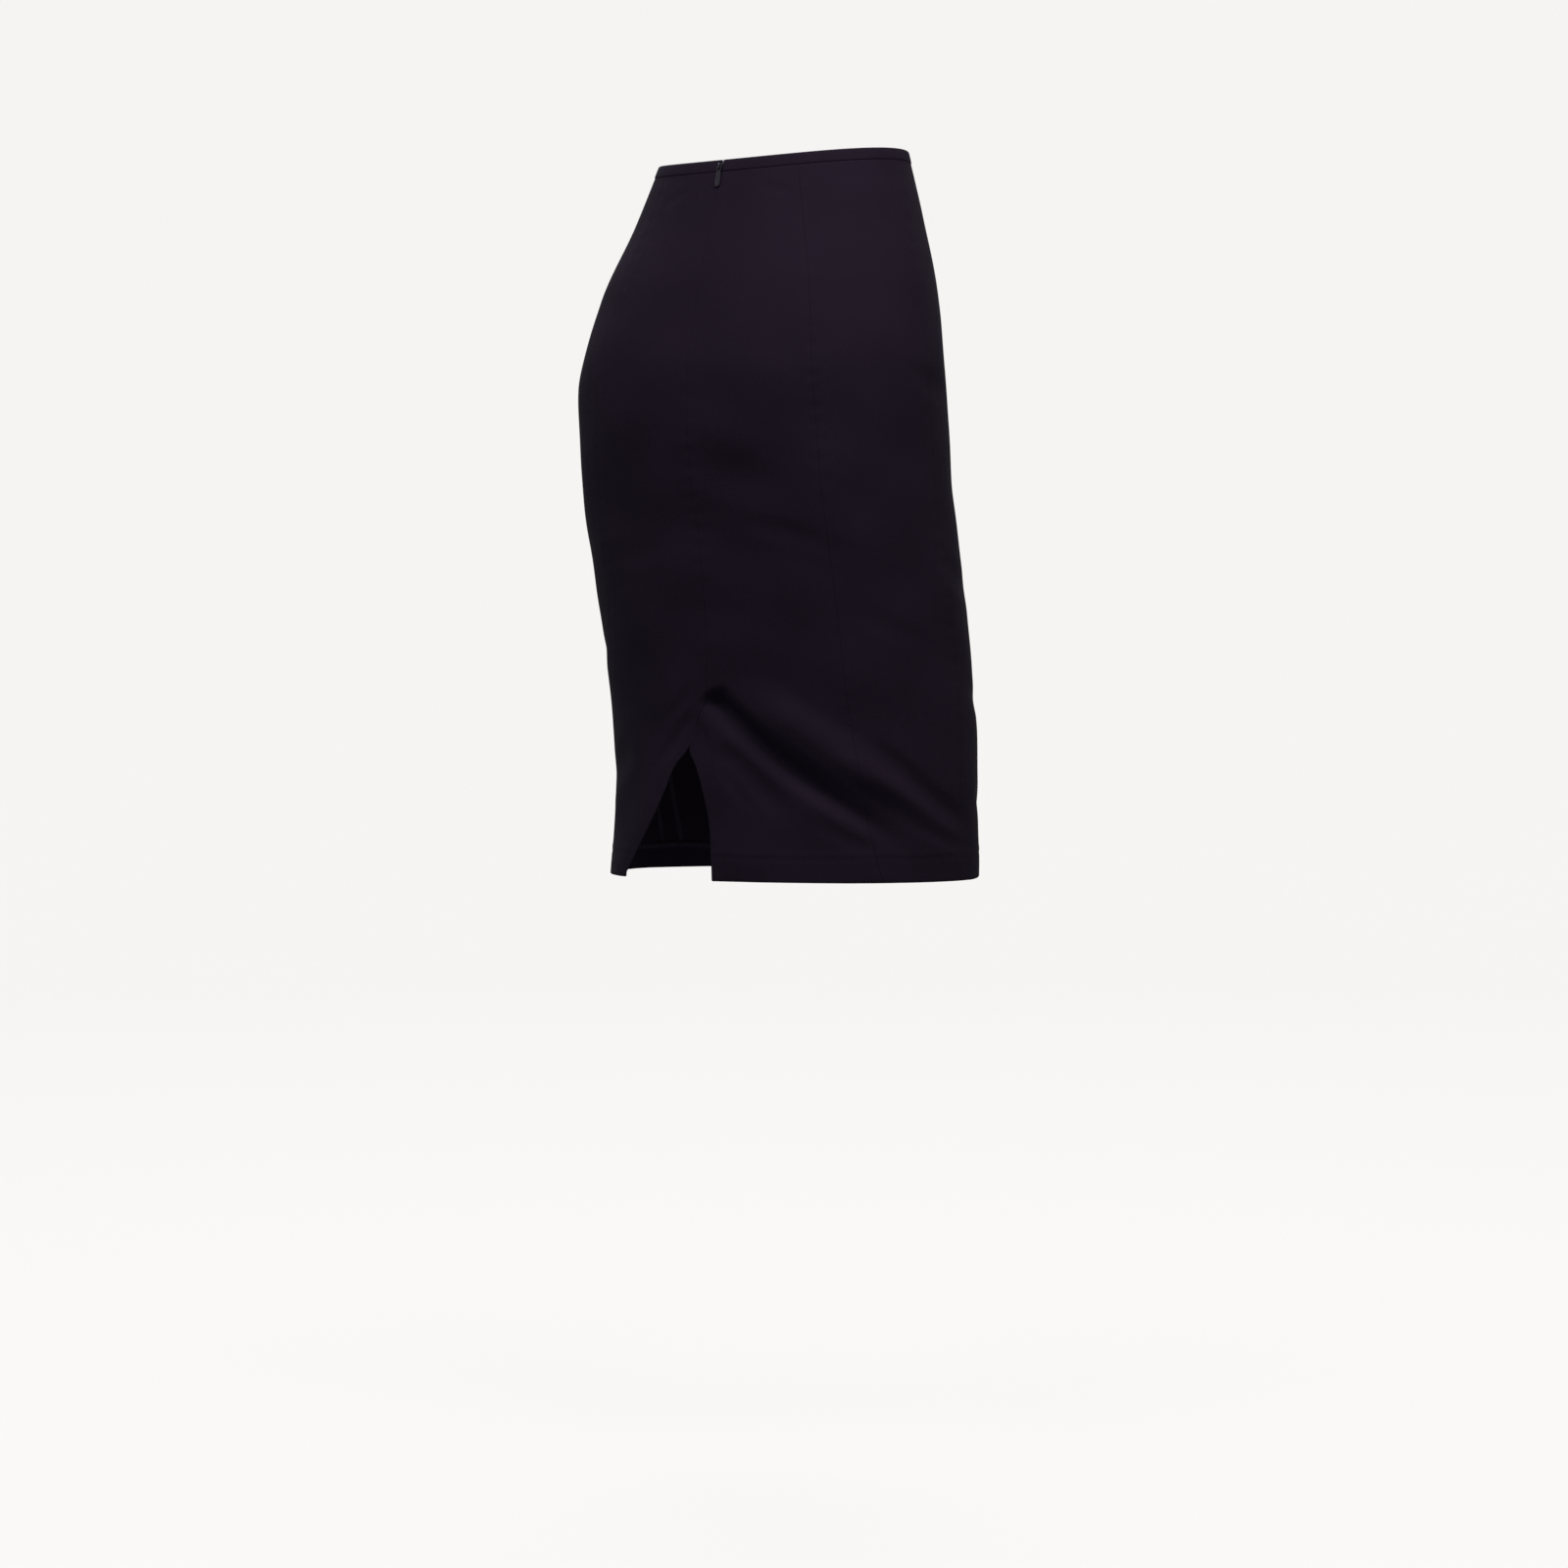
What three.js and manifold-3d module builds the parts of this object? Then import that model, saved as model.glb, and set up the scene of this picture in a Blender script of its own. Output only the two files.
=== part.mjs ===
// Pencil skirt in its worn, hollow form. Millimetres, +Z up.
// The origin is the centre of the waist, level with the waist edge at the sides.
// The front faces -Y, the back +Y, and the wearer's left is +X.
//
// A place on the cloth is given by two values. `turn` is in degrees about +Z: 0 at the centre back,
// positive round to the wearer's right, 180 at the centre front. `down` is in mm below the origin.

import * as THREE from 'three';
import Module from 'manifold-3d';

const wasm = await Module();
wasm.setup();

// ---- driving dimensions ----

const HEM = 650;             // origin down to the hem
const CLOTH = 1.6;           // wall of one panel
const SEAM_GAP = 0.3;        // clearance between pieces that are sewn together
const BAND_HEIGHT = 10.5;
const BAND_PROUD = 0.6;      // how far the doubled band stands out from the panels
const WAIST_DIP = 14;        // drop of the waist edge at the centre back
const DIP_POWER = 2.5;       // how closely that drop keeps to the centre back

const ZIP_LENGTH = 200;      // measured down the panels; the tapes stop at the last row above it
const TAPE = { width: 11, thick: 1, start: 2, gap: 0.45, columns: 2 };
const SLIDER = {
  below: 7.5,                // waist edge down to the slider's middle
  height: 7,
  bodyWidth: 8, bodyThick: 2.6,
  neckWidth: 1,
  crownWidth: 3.4, crownThick: 0.9,
  bailWidth: 1.2, bailThick: 0.9, bailClear: 1.9, bailSpan: 3.2,
};
const PULL = {
  length: 18.5, width: 5.4, thick: 1,
  headWidth: 4.4, headDrop: 4.4, waist: 10.5,   // straight head, then widening down to here
  eyeWidth: 2.6, eyeDrop: 3.4,
  lean: 5.5,                                    // degrees, from the zip's slope in to the cloth
};
const ZIP_PARTING = { half: 1, from: 11, to: 18 };   // half the gap that the slider holds open, and its end

// Horizontal sections: half widths to the wearer's left and right, depths behind and before the
// section's centre, that centre's shift along Y, and how square the oval is.
const SECTIONS = [
  { down: 0, left: 119, right: 119, back: 90, front: 94, shift: 0, square: 0 },
  { down: 60, left: 142, right: 139, back: 100, front: 108, shift: 9, square: 0 },
  { down: 130, left: 171, right: 161, back: 110, front: 120, shift: 22, square: 0.02 },
  { down: 210, left: 188, right: 175, back: 117, front: 123, shift: 31, square: 0.03 },
  { down: 300, left: 185, right: 179, back: 120, front: 120, shift: 26, square: 0.05 },
  { down: 420, left: 173, right: 186, back: 127, front: 114, shift: 8, square: 0.05 },
  { down: 540, left: 166, right: 189, back: 135, front: 113, shift: -6, square: 0.03 },
  { down: 650, left: 174, right: 188, back: 137, front: 113, shift: -10, square: 0.03 },
];

// Where the seams run, in degrees of turn. The centre back seam is one line down to the slit, and
// below it each flap has an edge of its own: the left flap swings away, and takes its seams along.
const SEAMS = [
  { down: 0, leftSide: -90, leftBack: -34, leftFlap: 0, rightFlap: 0, rightBack: 34, rightSide: 90 },
  { down: 130, leftSide: -89, leftBack: -36.5, leftFlap: 0, rightFlap: 0, rightBack: 39, rightSide: 90 },
  { down: 300, leftSide: -89, leftBack: -39, leftFlap: 0, rightFlap: 0, rightBack: 41.2, rightSide: 90 },
  { down: 370, leftSide: -89.5, leftBack: -40, leftFlap: 2.6, rightFlap: 2.6, rightBack: 42, rightSide: 89.5 },
  { down: 440, leftSide: -91, leftBack: -43.5, leftFlap: 3, rightFlap: 3, rightBack: 42.8, rightSide: 89 },
  { down: 482, leftSide: -93.5, leftBack: -48, leftFlap: 2.4, rightFlap: 2.4, rightBack: 43.8, rightSide: 88.5 },
  { down: 507, leftSide: -96, leftBack: -52, leftFlap: -0.6, rightFlap: -0.5, rightBack: 44.8, rightSide: 88.3 },
  { down: 532, leftSide: -98.5, leftBack: -56.5, leftFlap: -4.6, rightFlap: -3, rightBack: 46, rightSide: 88 },
  { down: 550, leftSide: -100.5, leftBack: -59.5, leftFlap: -9.4, rightFlap: -0.6, rightBack: 46.9, rightSide: 87.7 },
  { down: 570, leftSide: -102.5, leftBack: -63, leftFlap: -12.6, rightFlap: 1.4, rightBack: 48, rightSide: 87.2 },
  { down: 600, leftSide: -106, leftBack: -69, leftFlap: -18.4, rightFlap: 3.2, rightBack: 50, rightSide: 86.3 },
  { down: 625, leftSide: -109, leftBack: -73.5, leftFlap: -25, rightFlap: 3.8, rightBack: 52, rightSide: 85.5 },
  { down: 650, leftSide: -112, leftBack: -78, leftFlap: -32, rightFlap: 4, rightBack: 54.3, rightSide: 84.7 },
];

// The largest folds. Each runs from (turn0, down0) past (turn1, down1) to (turn2, down2), reaches
// `reach` mm to each side and stands `height` mm out of the cloth, or sinks in where it is negative.
// `fadeIn` and `fadeOut` are the shares of its length over which it rises and dies away.
const FOLDS = [
  // the drag line from the top of the slit across the right thigh, with the roll of cloth above it
  { turn0: 3, down0: 483, turn1: 28, down1: 552, turn2: 68, down2: 628, reach: 21, height: -10, fadeIn: 0.06, fadeOut: 0.45 },
  { turn0: 9, down0: 470, turn1: 42, down1: 540, turn2: 82, down2: 596, reach: 26, height: 5, fadeIn: 0.3, fadeOut: 0.4 },
  { turn0: 49, down0: 524, turn1: 70, down1: 572, turn2: 96, down2: 606, reach: 17, height: -5, fadeIn: 0.3, fadeOut: 0.35 },
  { turn0: 6, down0: 526, turn1: 16, down1: 562, turn2: 30, down2: 604, reach: 16, height: -4, fadeIn: 0.25, fadeOut: 0.4 },
  // the left flap, drawn forward by its hem
  { turn0: -26, down0: 520, turn1: -46, down1: 552, turn2: -76, down2: 578, reach: 26, height: -3, fadeIn: 0.4, fadeOut: 0.5 },
  { turn0: -50, down0: 566, turn1: -63, down1: 606, turn2: -78, down2: 644, reach: 24, height: -3, fadeIn: 0.4, fadeOut: 0.3 },
  // the front: two slack hollows across the thighs and one drag line towards the left hip
  { turn0: 128, down0: 338, turn1: 165, down1: 368, turn2: 205, down2: 362, reach: 38, height: -3.2, fadeIn: 0.4, fadeOut: 0.4 },
  { turn0: 150, down0: 468, turn1: 186, down1: 512, turn2: 224, down2: 534, reach: 34, height: -3.4, fadeIn: 0.4, fadeOut: 0.4 },
  { turn0: 208, down0: 556, turn1: 226, down1: 596, turn2: 240, down2: 645, reach: 24, height: -3.2, fadeIn: 0.45, fadeOut: 0.25 },
];
const ARC_PER_DEGREE = 2.7;  // mm of cloth in one degree of turn, near enough over the lower half

// The slit's edges turn a little outwards below its top.
const FLARE = { top: 500, full: 590, left: 5, right: 3.5, reach: 38 };

// Rows of each panel: down to `until`, one row every `step` or so.
const ROW_BANDS = [
  { until: 22, step: 5.6 }, { until: 62, step: 20 }, { until: 462, step: 33 }, { until: 482, step: 20 },
  { until: 650, step: 14 },
];
const COLUMNS = { centre: 10, side: 7, front: 22, band: 60 };

// ---- curves through the tables ----

// A smooth curve through one column of a table that never overshoots its rows.
function column(table, name) {
  const at = table.map((row) => row.down);
  const value = table.map((row) => row[name]);
  const rise = value.slice(1).map((v, i) => (v - value[i]) / (at[i + 1] - at[i]));
  const slope = value.map((_, i) => {
    if (i === 0) return rise[0];
    if (i === value.length - 1) return rise[i - 1];
    if (rise[i - 1] * rise[i] <= 0) return 0;
    return 2 / (1 / rise[i - 1] + 1 / rise[i]);
  });
  return (down) => {
    let i = at.findIndex((d) => d > down) - 1;
    if (i < 0) i = down < at[0] ? 0 : at.length - 2;
    const span = at[i + 1] - at[i];
    const t = THREE.MathUtils.clamp((down - at[i]) / span, 0, 1);
    const before = 1 - t;
    return value[i] * before * before * (1 + 2 * t) + value[i + 1] * t * t * (3 - 2 * t)
      + slope[i] * span * t * before * before - slope[i + 1] * span * t * t * before;
  };
}

const columns = (table) => Object.fromEntries(Object.keys(table[0]).map((name) => [name, column(table, name)]));
const section = columns(SECTIONS);
const seam = columns(SEAMS);
const radians = THREE.MathUtils.degToRad;
const ease = THREE.MathUtils.smoothstep;

// ---- the cloth's form ----

function plainPoint(turn, down) {
  const ahead = Math.cos(radians(turn));
  const aside = Math.sin(radians(turn));
  const square = section.square(down);
  const half = aside > 0 ? section.right(down) : section.left(down);
  const depth = ahead > 0 ? section.back(down) : section.front(down);
  return new THREE.Vector3(
    -half * aside * (1 + square * ahead * ahead),
    section.shift(down) + depth * ahead * (1 + square * aside * aside),
    -down,
  );
}

// The outward direction of any surface that is given as a function of turn and down.
function outwards(surface, turn, down) {
  const along = surface(turn + 0.3, down).sub(surface(turn - 0.3, down));
  const below = surface(turn, down + 0.8).sub(surface(turn, down - 0.8));
  return below.cross(along).normalize();
}

const wrap = (degrees) => THREE.MathUtils.euclideanModulo(degrees + 180, 360) - 180;

function foldHeight(fold, turn, down) {
  const place = new THREE.Vector2(wrap(turn - fold.turn1) * ARC_PER_DEGREE, down);
  const start = new THREE.Vector2((fold.turn0 - fold.turn1) * ARC_PER_DEGREE, fold.down0);
  const finish = new THREE.Vector2((fold.turn2 - fold.turn1) * ARC_PER_DEGREE, fold.down2);
  const middle = new THREE.Vector2(0, fold.down1);
  const bend = middle.multiplyScalar(2).sub(start.clone().add(finish).multiplyScalar(0.5));
  const path = new THREE.QuadraticBezierCurve(start, bend, finish);
  let nearest = Infinity;
  let share = 0;
  for (let t = 0; t <= 1.0001; t += 1 / 24) {
    const distance = path.getPoint(t).distanceTo(place);
    if (distance < nearest) [nearest, share] = [distance, t];
  }
  if (nearest > fold.reach) return 0;
  const ends = ease(share, 0, fold.fadeIn) * (1 - ease(share, 1 - fold.fadeOut, 1));
  return fold.height * ends * (0.5 + 0.5 * Math.cos(Math.PI * nearest / fold.reach));
}

function flareHeight(turn, down) {
  const open = ease(down, FLARE.top, FLARE.full);
  const fromLeft = (seam.leftFlap(down) - wrap(turn)) * ARC_PER_DEGREE;
  const fromRight = (wrap(turn) - seam.rightFlap(down)) * ARC_PER_DEGREE;
  const left = fromLeft >= -2 ? FLARE.left * Math.exp(-((fromLeft / FLARE.reach) ** 2)) : 0;
  const right = fromRight >= -2 ? FLARE.right * Math.exp(-((fromRight / FLARE.reach) ** 2)) : 0;
  return open * Math.max(left, right);
}

// The outer face of the panels, with the folds in it.
function cloth(turn, down) {
  let height = flareHeight(turn, down);
  for (const fold of FOLDS) height += foldHeight(fold, turn, down);
  return plainPoint(turn, down).addScaledVector(outwards(plainPoint, turn, down), height);
}

const waistEdge = (turn) => WAIST_DIP * ((1 + Math.cos(radians(turn))) / 2) ** DIP_POWER;

// Turns a distance along the cloth, in mm, into degrees at that place.
function degreesFor(length, turn, down) {
  return length / plainPoint(turn + 0.5, down).distanceTo(plainPoint(turn - 0.5, down));
}

// ---- walls ----

// A closed wall over a grid. face(i, j) gives the outer and inner point of column i and row j;
// columns follow the turn and rows go down.
function wall(columnCount, rowCount, face) {
  const across = columnCount + 1;
  const layer = across * (rowCount + 1);
  const positions = [];
  for (const side of ['outer', 'inner']) {
    for (let j = 0; j <= rowCount; j++) {
      for (let i = 0; i <= columnCount; i++) positions.push(...face(i, j)[side].toArray());
    }
  }
  const outer = (i, j) => j * across + i;
  const inner = (i, j) => layer + outer(i, j);
  const indices = [];
  const quad = (a, b, c, d) => indices.push(a, b, c, a, c, d);
  for (let j = 0; j < rowCount; j++) {
    for (let i = 0; i < columnCount; i++) {
      quad(outer(i, j), outer(i, j + 1), outer(i + 1, j + 1), outer(i + 1, j));
      quad(inner(i, j), inner(i + 1, j), inner(i + 1, j + 1), inner(i, j + 1));
    }
    quad(outer(0, j), inner(0, j), inner(0, j + 1), outer(0, j + 1));
    quad(outer(columnCount, j), outer(columnCount, j + 1), inner(columnCount, j + 1), inner(columnCount, j));
  }
  for (let i = 0; i < columnCount; i++) {
    quad(outer(i, 0), outer(i + 1, 0), inner(i + 1, 0), inner(i, 0));
    quad(outer(i, rowCount), inner(i, rowCount), inner(i + 1, rowCount), outer(i + 1, rowCount));
  }
  const geometry = new THREE.BufferGeometry();
  geometry.setAttribute('position', new THREE.Float32BufferAttribute(positions, 3));
  geometry.setIndex(indices);
  geometry.computeVertexNormals();
  return geometry;
}

// The two faces of a layer of cloth: `out` mm outside the panels' face, `thick` mm through.
function layer(turn, down, out, thick) {
  const normal = outwards(cloth, turn, down);
  const outer = cloth(turn, down).addScaledVector(normal, out);
  return { outer, inner: outer.clone().addScaledVector(normal, -thick) };
}

const PANEL_TOP = BAND_HEIGHT + SEAM_GAP;

function panelRows() {
  const rows = [PANEL_TOP];
  for (const band of ROW_BANDS) {
    const from = rows[rows.length - 1];
    const count = Math.round((band.until - from) / band.step);
    for (let k = 1; k <= count; k++) rows.push(from + (band.until - from) * k / count);
  }
  return rows;
}
const ROWS = panelRows();

// How far down a panel's row lies at one turn: level with its neighbours at the hem, and following
// the waist edge at the top.
function rowDown(row, turn) {
  const share = (row - PANEL_TOP) / (HEM - PANEL_TOP);
  return THREE.MathUtils.lerp(waistEdge(turn) + PANEL_TOP, HEM, share);
}

// The gap on each side of the centre back line: wider where the zip's slider parts the edges.
function centreGap(down) {
  const parting = 1 - ease(down, ZIP_PARTING.from, ZIP_PARTING.to);
  return SEAM_GAP / 2 + (ZIP_PARTING.half - SEAM_GAP / 2) * parting;
}

// One panel between two seams. Each edge is { at: turn as a function of down, gap: likewise in mm }.
function panel(columnCount, low, high) {
  const face = (i, j) => {
    const row = ROWS[j];
    const from = low.at(row) + degreesFor(low.gap(row), low.at(row), row);
    const to = high.at(row) - degreesFor(high.gap(row), high.at(row), row);
    const turn = THREE.MathUtils.lerp(from, to, i / columnCount);
    return layer(turn, rowDown(row, turn), 0, CLOTH);
  };
  return wall(columnCount, ROWS.length - 1, face);
}

const sewn = () => SEAM_GAP / 2;
const EDGES = {
  leftSide: { at: seam.leftSide, gap: sewn },
  leftBack: { at: seam.leftBack, gap: sewn },
  leftFlap: { at: seam.leftFlap, gap: centreGap },
  rightFlap: { at: seam.rightFlap, gap: centreGap },
  rightBack: { at: seam.rightBack, gap: sewn },
  rightSide: { at: seam.rightSide, gap: sewn },
  leftSideFromFront: { at: (down) => 360 + seam.leftSide(down), gap: sewn },
};

// The doubled band round the waist, open at the centre back.
function waistband() {
  const face = (i, j) => {
    const open = degreesFor(ZIP_PARTING.half, 0, 0);
    const turn = THREE.MathUtils.lerp(open, 360 - open, i / COLUMNS.band);
    return layer(turn, waistEdge(turn) + BAND_HEIGHT * j, BAND_PROUD, CLOTH + BAND_PROUD);
  };
  return wall(COLUMNS.band, 1, face);
}

// ---- the zip ----

// One tape, inside the centre back. `side` is -1 for the wearer's left and 1 for the right.
function zipTape(side) {
  const downs = ROWS.filter((row) => row < ZIP_LENGTH).map((row) => rowDown(row, 0));
  downs.unshift(WAIST_DIP + TAPE.start);
  const face = (i, j) => {
    const share = side > 0 ? i / TAPE.columns : 1 - i / TAPE.columns;
    const aside = side * (ZIP_PARTING.half + TAPE.width * share);
    const down = downs[j];
    return layer(degreesFor(aside, 0, down), down, -CLOTH - TAPE.gap, TAPE.thick);
  };
  return wall(TAPE.columns, downs.length - 1, face);
}

function solidFrom(geometry) {
  const merged = mergePoints(geometry);
  const mesh = new wasm.Mesh({
    numProp: 3,
    vertProperties: merged.positions,
    triVerts: merged.indices,
  });
  return new wasm.Manifold(mesh);
}

// Shares the corners that a geometry class repeats, face by face.
function mergePoints(geometry) {
  const source = geometry.getAttribute('position');
  const order = geometry.index ? Array.from(geometry.index.array) : Array.from({ length: source.count }, (_, i) => i);
  const seen = new Map();
  const positions = [];
  const indices = order.map((i) => {
    const point = [source.getX(i), source.getY(i), source.getZ(i)];
    const key = point.map((v) => Math.round(v * 1e4)).join();
    if (!seen.has(key)) {
      seen.set(key, positions.length / 3);
      positions.push(...point);
    }
    return seen.get(key);
  });
  return { positions: new Float32Array(positions), indices: new Uint32Array(indices) };
}

function geometryFrom(solid) {
  const mesh = solid.getMesh();
  const geometry = new THREE.BufferGeometry();
  geometry.setAttribute('position', new THREE.BufferAttribute(mesh.vertProperties, 3));
  geometry.setIndex(new THREE.BufferAttribute(mesh.triVerts, 1));
  geometry.computeVertexNormals();
  return geometry;
}

// Faces of the slider, measured outwards from the panels' outer face.
const CROWN_INSIDE = BAND_PROUD + SEAM_GAP;
const CROWN_FACE = CROWN_INSIDE + SLIDER.crownThick;
const BODY_FACE = -(CLOTH + TAPE.gap + TAPE.thick + SEAM_GAP);
const PIVOT_OUT = CROWN_FACE + SLIDER.bailClear / 2;

// The slider, in its own axes: X across, Y outwards, Z up along the zip. Its body is behind the
// tapes and its crown outside the cloth, with a neck between them.
function sliderGeometry() {
  const profile = new THREE.Shape();
  const halfBody = SLIDER.bodyWidth / 2;
  const halfNeck = SLIDER.neckWidth / 2;
  const halfCrown = SLIDER.crownWidth / 2;
  const bodyBack = BODY_FACE - SLIDER.bodyThick;
  profile.moveTo(-halfBody, bodyBack);
  profile.lineTo(halfBody, bodyBack);
  profile.lineTo(halfBody, BODY_FACE);
  profile.lineTo(halfNeck, BODY_FACE);
  profile.lineTo(halfNeck, CROWN_INSIDE);
  profile.lineTo(halfCrown, CROWN_INSIDE);
  profile.lineTo(halfCrown, CROWN_FACE);
  profile.lineTo(-halfCrown, CROWN_FACE);
  profile.lineTo(-halfCrown, CROWN_INSIDE);
  profile.lineTo(-halfNeck, CROWN_INSIDE);
  profile.lineTo(-halfNeck, BODY_FACE);
  profile.lineTo(-halfBody, BODY_FACE);
  const body = new THREE.ExtrudeGeometry(profile, { depth: SLIDER.height, bevelEnabled: false });
  body.translate(0, 0, -SLIDER.height / 2);
  return geometryFrom(solidFrom(body).add(solidFrom(bailGeometry())));
}

// The bail: a flat staple on the crown that holds the pull's head.
function bailGeometry() {
  const outer = SLIDER.bailSpan / 2 + SLIDER.bailThick;
  const inner = SLIDER.bailSpan / 2;
  const reach = SLIDER.bailClear + SLIDER.bailThick;
  const root = -SLIDER.crownThick / 2;                // sunk into the crown, so that the two are one piece
  const chamfer = SLIDER.bailThick * 0.6;
  const staple = new THREE.Shape([
    new THREE.Vector2(-outer, root), new THREE.Vector2(-inner, root),
    new THREE.Vector2(-inner, SLIDER.bailClear), new THREE.Vector2(inner, SLIDER.bailClear),
    new THREE.Vector2(inner, root), new THREE.Vector2(outer, root),
    new THREE.Vector2(outer, reach - chamfer), new THREE.Vector2(outer - chamfer, reach),
    new THREE.Vector2(chamfer - outer, reach), new THREE.Vector2(-outer, reach - chamfer),
  ]);
  const geometry = new THREE.ExtrudeGeometry(staple, { depth: SLIDER.bailWidth, bevelEnabled: false });
  geometry.translate(0, 0, -SLIDER.bailWidth / 2);
  // the staple is drawn with its length along X and its reach along Y: turn its length up the zip
  geometry.applyMatrix4(new THREE.Matrix4().makeBasis(
    new THREE.Vector3(0, 0, 1), new THREE.Vector3(0, 1, 0), new THREE.Vector3(-1, 0, 0),
  ));
  geometry.translate(0, CROWN_FACE, 0);
  return geometry;
}

// The pull tab, in its own axes: its head's bar lies on the X axis and it hangs along -Z.
function pullGeometry() {
  const bar = PULL.thick / 2;
  const head = PULL.headWidth / 2;
  const foot = PULL.width / 2;
  const tab = new THREE.Shape();
  tab.moveTo(-head, bar);
  tab.lineTo(-head, -PULL.headDrop);
  tab.lineTo(-foot, -PULL.waist);
  tab.absarc(0, -PULL.length + foot, foot, Math.PI, 2 * Math.PI, false);
  tab.lineTo(foot, -PULL.waist);
  tab.lineTo(head, -PULL.headDrop);
  tab.lineTo(head, bar);
  const eye = new THREE.Path();
  const half = PULL.eyeWidth / 2;
  eye.moveTo(-half, -bar);
  eye.lineTo(half, -bar);
  eye.lineTo(half, -PULL.eyeDrop);
  eye.lineTo(-half, -PULL.eyeDrop);
  tab.holes.push(eye);
  const geometry = new THREE.ExtrudeGeometry(tab, { depth: PULL.thick, bevelEnabled: false, curveSegments: 10 });
  geometry.translate(0, 0, -PULL.thick / 2);
  geometry.rotateX(Math.PI / 2);
  return geometry;
}

// ---- the skirt ----

const crepe = new THREE.MeshStandardMaterial({ color: 0x1a141f, roughness: 0.85, metalness: 0 });
const tape = new THREE.MeshStandardMaterial({ color: 0x15121b, roughness: 0.9, metalness: 0 });
const lacquer = new THREE.MeshStandardMaterial({ color: 0x1c1a22, roughness: 0.35, metalness: 0.6 });

function piece(name, geometry, material) {
  const mesh = new THREE.Mesh(geometry, material);
  mesh.name = name;
  return mesh;
}

// The zip's moving pieces stand on the cloth's slope at the slider.
function zipHardware() {
  const down = WAIST_DIP + SLIDER.below;
  const normal = outwards(cloth, 0, down);
  const group = new THREE.Group();
  group.position.copy(cloth(0, down));
  group.rotation.x = Math.atan2(normal.z, normal.y);
  const pull = piece('zip_pull', pullGeometry(), lacquer);
  pull.position.y = PIVOT_OUT;
  pull.rotation.x = -radians(PULL.lean);
  group.add(piece('zip_slider', sliderGeometry(), lacquer), pull);
  return group;
}

const skirt = new THREE.Group();
skirt.add(
  piece('front', panel(COLUMNS.front, EDGES.rightSide, EDGES.leftSideFromFront), crepe),
  piece('side_back_left', panel(COLUMNS.side, EDGES.leftSide, EDGES.leftBack), crepe),
  piece('centre_back_left', panel(COLUMNS.centre, EDGES.leftBack, EDGES.leftFlap), crepe),
  piece('centre_back_right', panel(COLUMNS.centre, EDGES.rightFlap, EDGES.rightBack), crepe),
  piece('side_back_right', panel(COLUMNS.side, EDGES.rightBack, EDGES.rightSide), crepe),
  piece('waistband', waistband(), crepe),
  piece('zip_tape_left', zipTape(-1), tape),
  piece('zip_tape_right', zipTape(1), tape),
  zipHardware(),
);

export default skirt;
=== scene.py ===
"""A pencil skirt in its worn, hollow form: the finished cloth, seams, hem, slit and zip.

The tables and lengths below are in millimetres, and every mesh is written in metres. The origin is the
centre of the waist, +Z is up, the front faces -Y and the wearer's left is +X. A place on the cloth is
`turn`, in degrees about +Z (0 at the centre back, positive round to the wearer's right, 180 at the
centre front), and `down`, below the origin. `depth` is measured from the cloth's outer face inwards.
"""

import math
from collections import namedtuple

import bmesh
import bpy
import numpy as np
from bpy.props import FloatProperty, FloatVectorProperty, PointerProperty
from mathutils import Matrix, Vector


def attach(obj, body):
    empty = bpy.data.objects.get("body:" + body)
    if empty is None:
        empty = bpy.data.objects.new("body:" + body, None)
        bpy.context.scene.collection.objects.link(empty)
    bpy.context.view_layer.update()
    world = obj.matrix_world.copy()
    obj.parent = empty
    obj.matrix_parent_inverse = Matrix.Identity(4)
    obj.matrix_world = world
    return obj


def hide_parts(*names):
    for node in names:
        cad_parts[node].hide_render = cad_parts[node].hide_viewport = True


bl_info = {
    "name": "Pencil Skirt",
    "version": (1, 0, 0),
    "blender": (4, 5, 0),
    "location": "3D View > Sidebar > Skirt",
    "description": "Makes a worn pencil skirt in dark crepe, with its seams, hem, back slit and zip",
    "category": "Add Mesh",
}

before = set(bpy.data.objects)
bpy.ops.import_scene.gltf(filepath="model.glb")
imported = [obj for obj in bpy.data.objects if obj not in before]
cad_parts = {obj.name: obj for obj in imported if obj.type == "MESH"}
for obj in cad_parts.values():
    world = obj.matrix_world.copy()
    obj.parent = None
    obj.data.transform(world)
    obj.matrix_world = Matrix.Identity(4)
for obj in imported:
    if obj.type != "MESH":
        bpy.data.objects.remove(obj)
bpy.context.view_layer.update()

MM = 0.001
FAR = 99.0                # a distance that no edge's finish reaches

# ---- the form that the cloth takes ----

HEM = 650.0
SEAM_GAP = 0.3
SEWN_TOUCH = -0.03        # sewn edges are drawn together until their turns just press on each other
BAND_HEIGHT = 10.5
PANEL_TOP = BAND_HEIGHT + SEAM_GAP
WAIST_DIP = 14.0          # drop of the waist edge at the centre back
DIP_POWER = 2.5           # how closely that drop keeps to the centre back
ARC_PER_DEGREE = 2.7      # cloth in one degree of turn, near enough over the lower half
WAIST_ARC_PER_DEGREE = 2.1
FOLD_STEPS = 24

# Half widths to the wearer's left and right, depths behind and before the section's centre, that
# centre's shift along Y, and how square the oval is.
Section = namedtuple("Section", "down left right back front shift square")
SECTIONS = (
    Section(0, 119, 119, 90, 94, 0, 0),
    Section(60, 142, 139, 100, 108, 9, 0),
    Section(130, 171, 161, 110, 120, 22, 0.02),
    Section(210, 188, 175, 117, 123, 31, 0.03),
    Section(300, 185, 179, 120, 120, 26, 0.05),
    Section(420, 173, 186, 127, 114, 8, 0.05),
    Section(540, 166, 189, 135, 113, -6, 0.03),
    Section(650, 174, 188, 137, 113, -10, 0.03),
)

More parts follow.
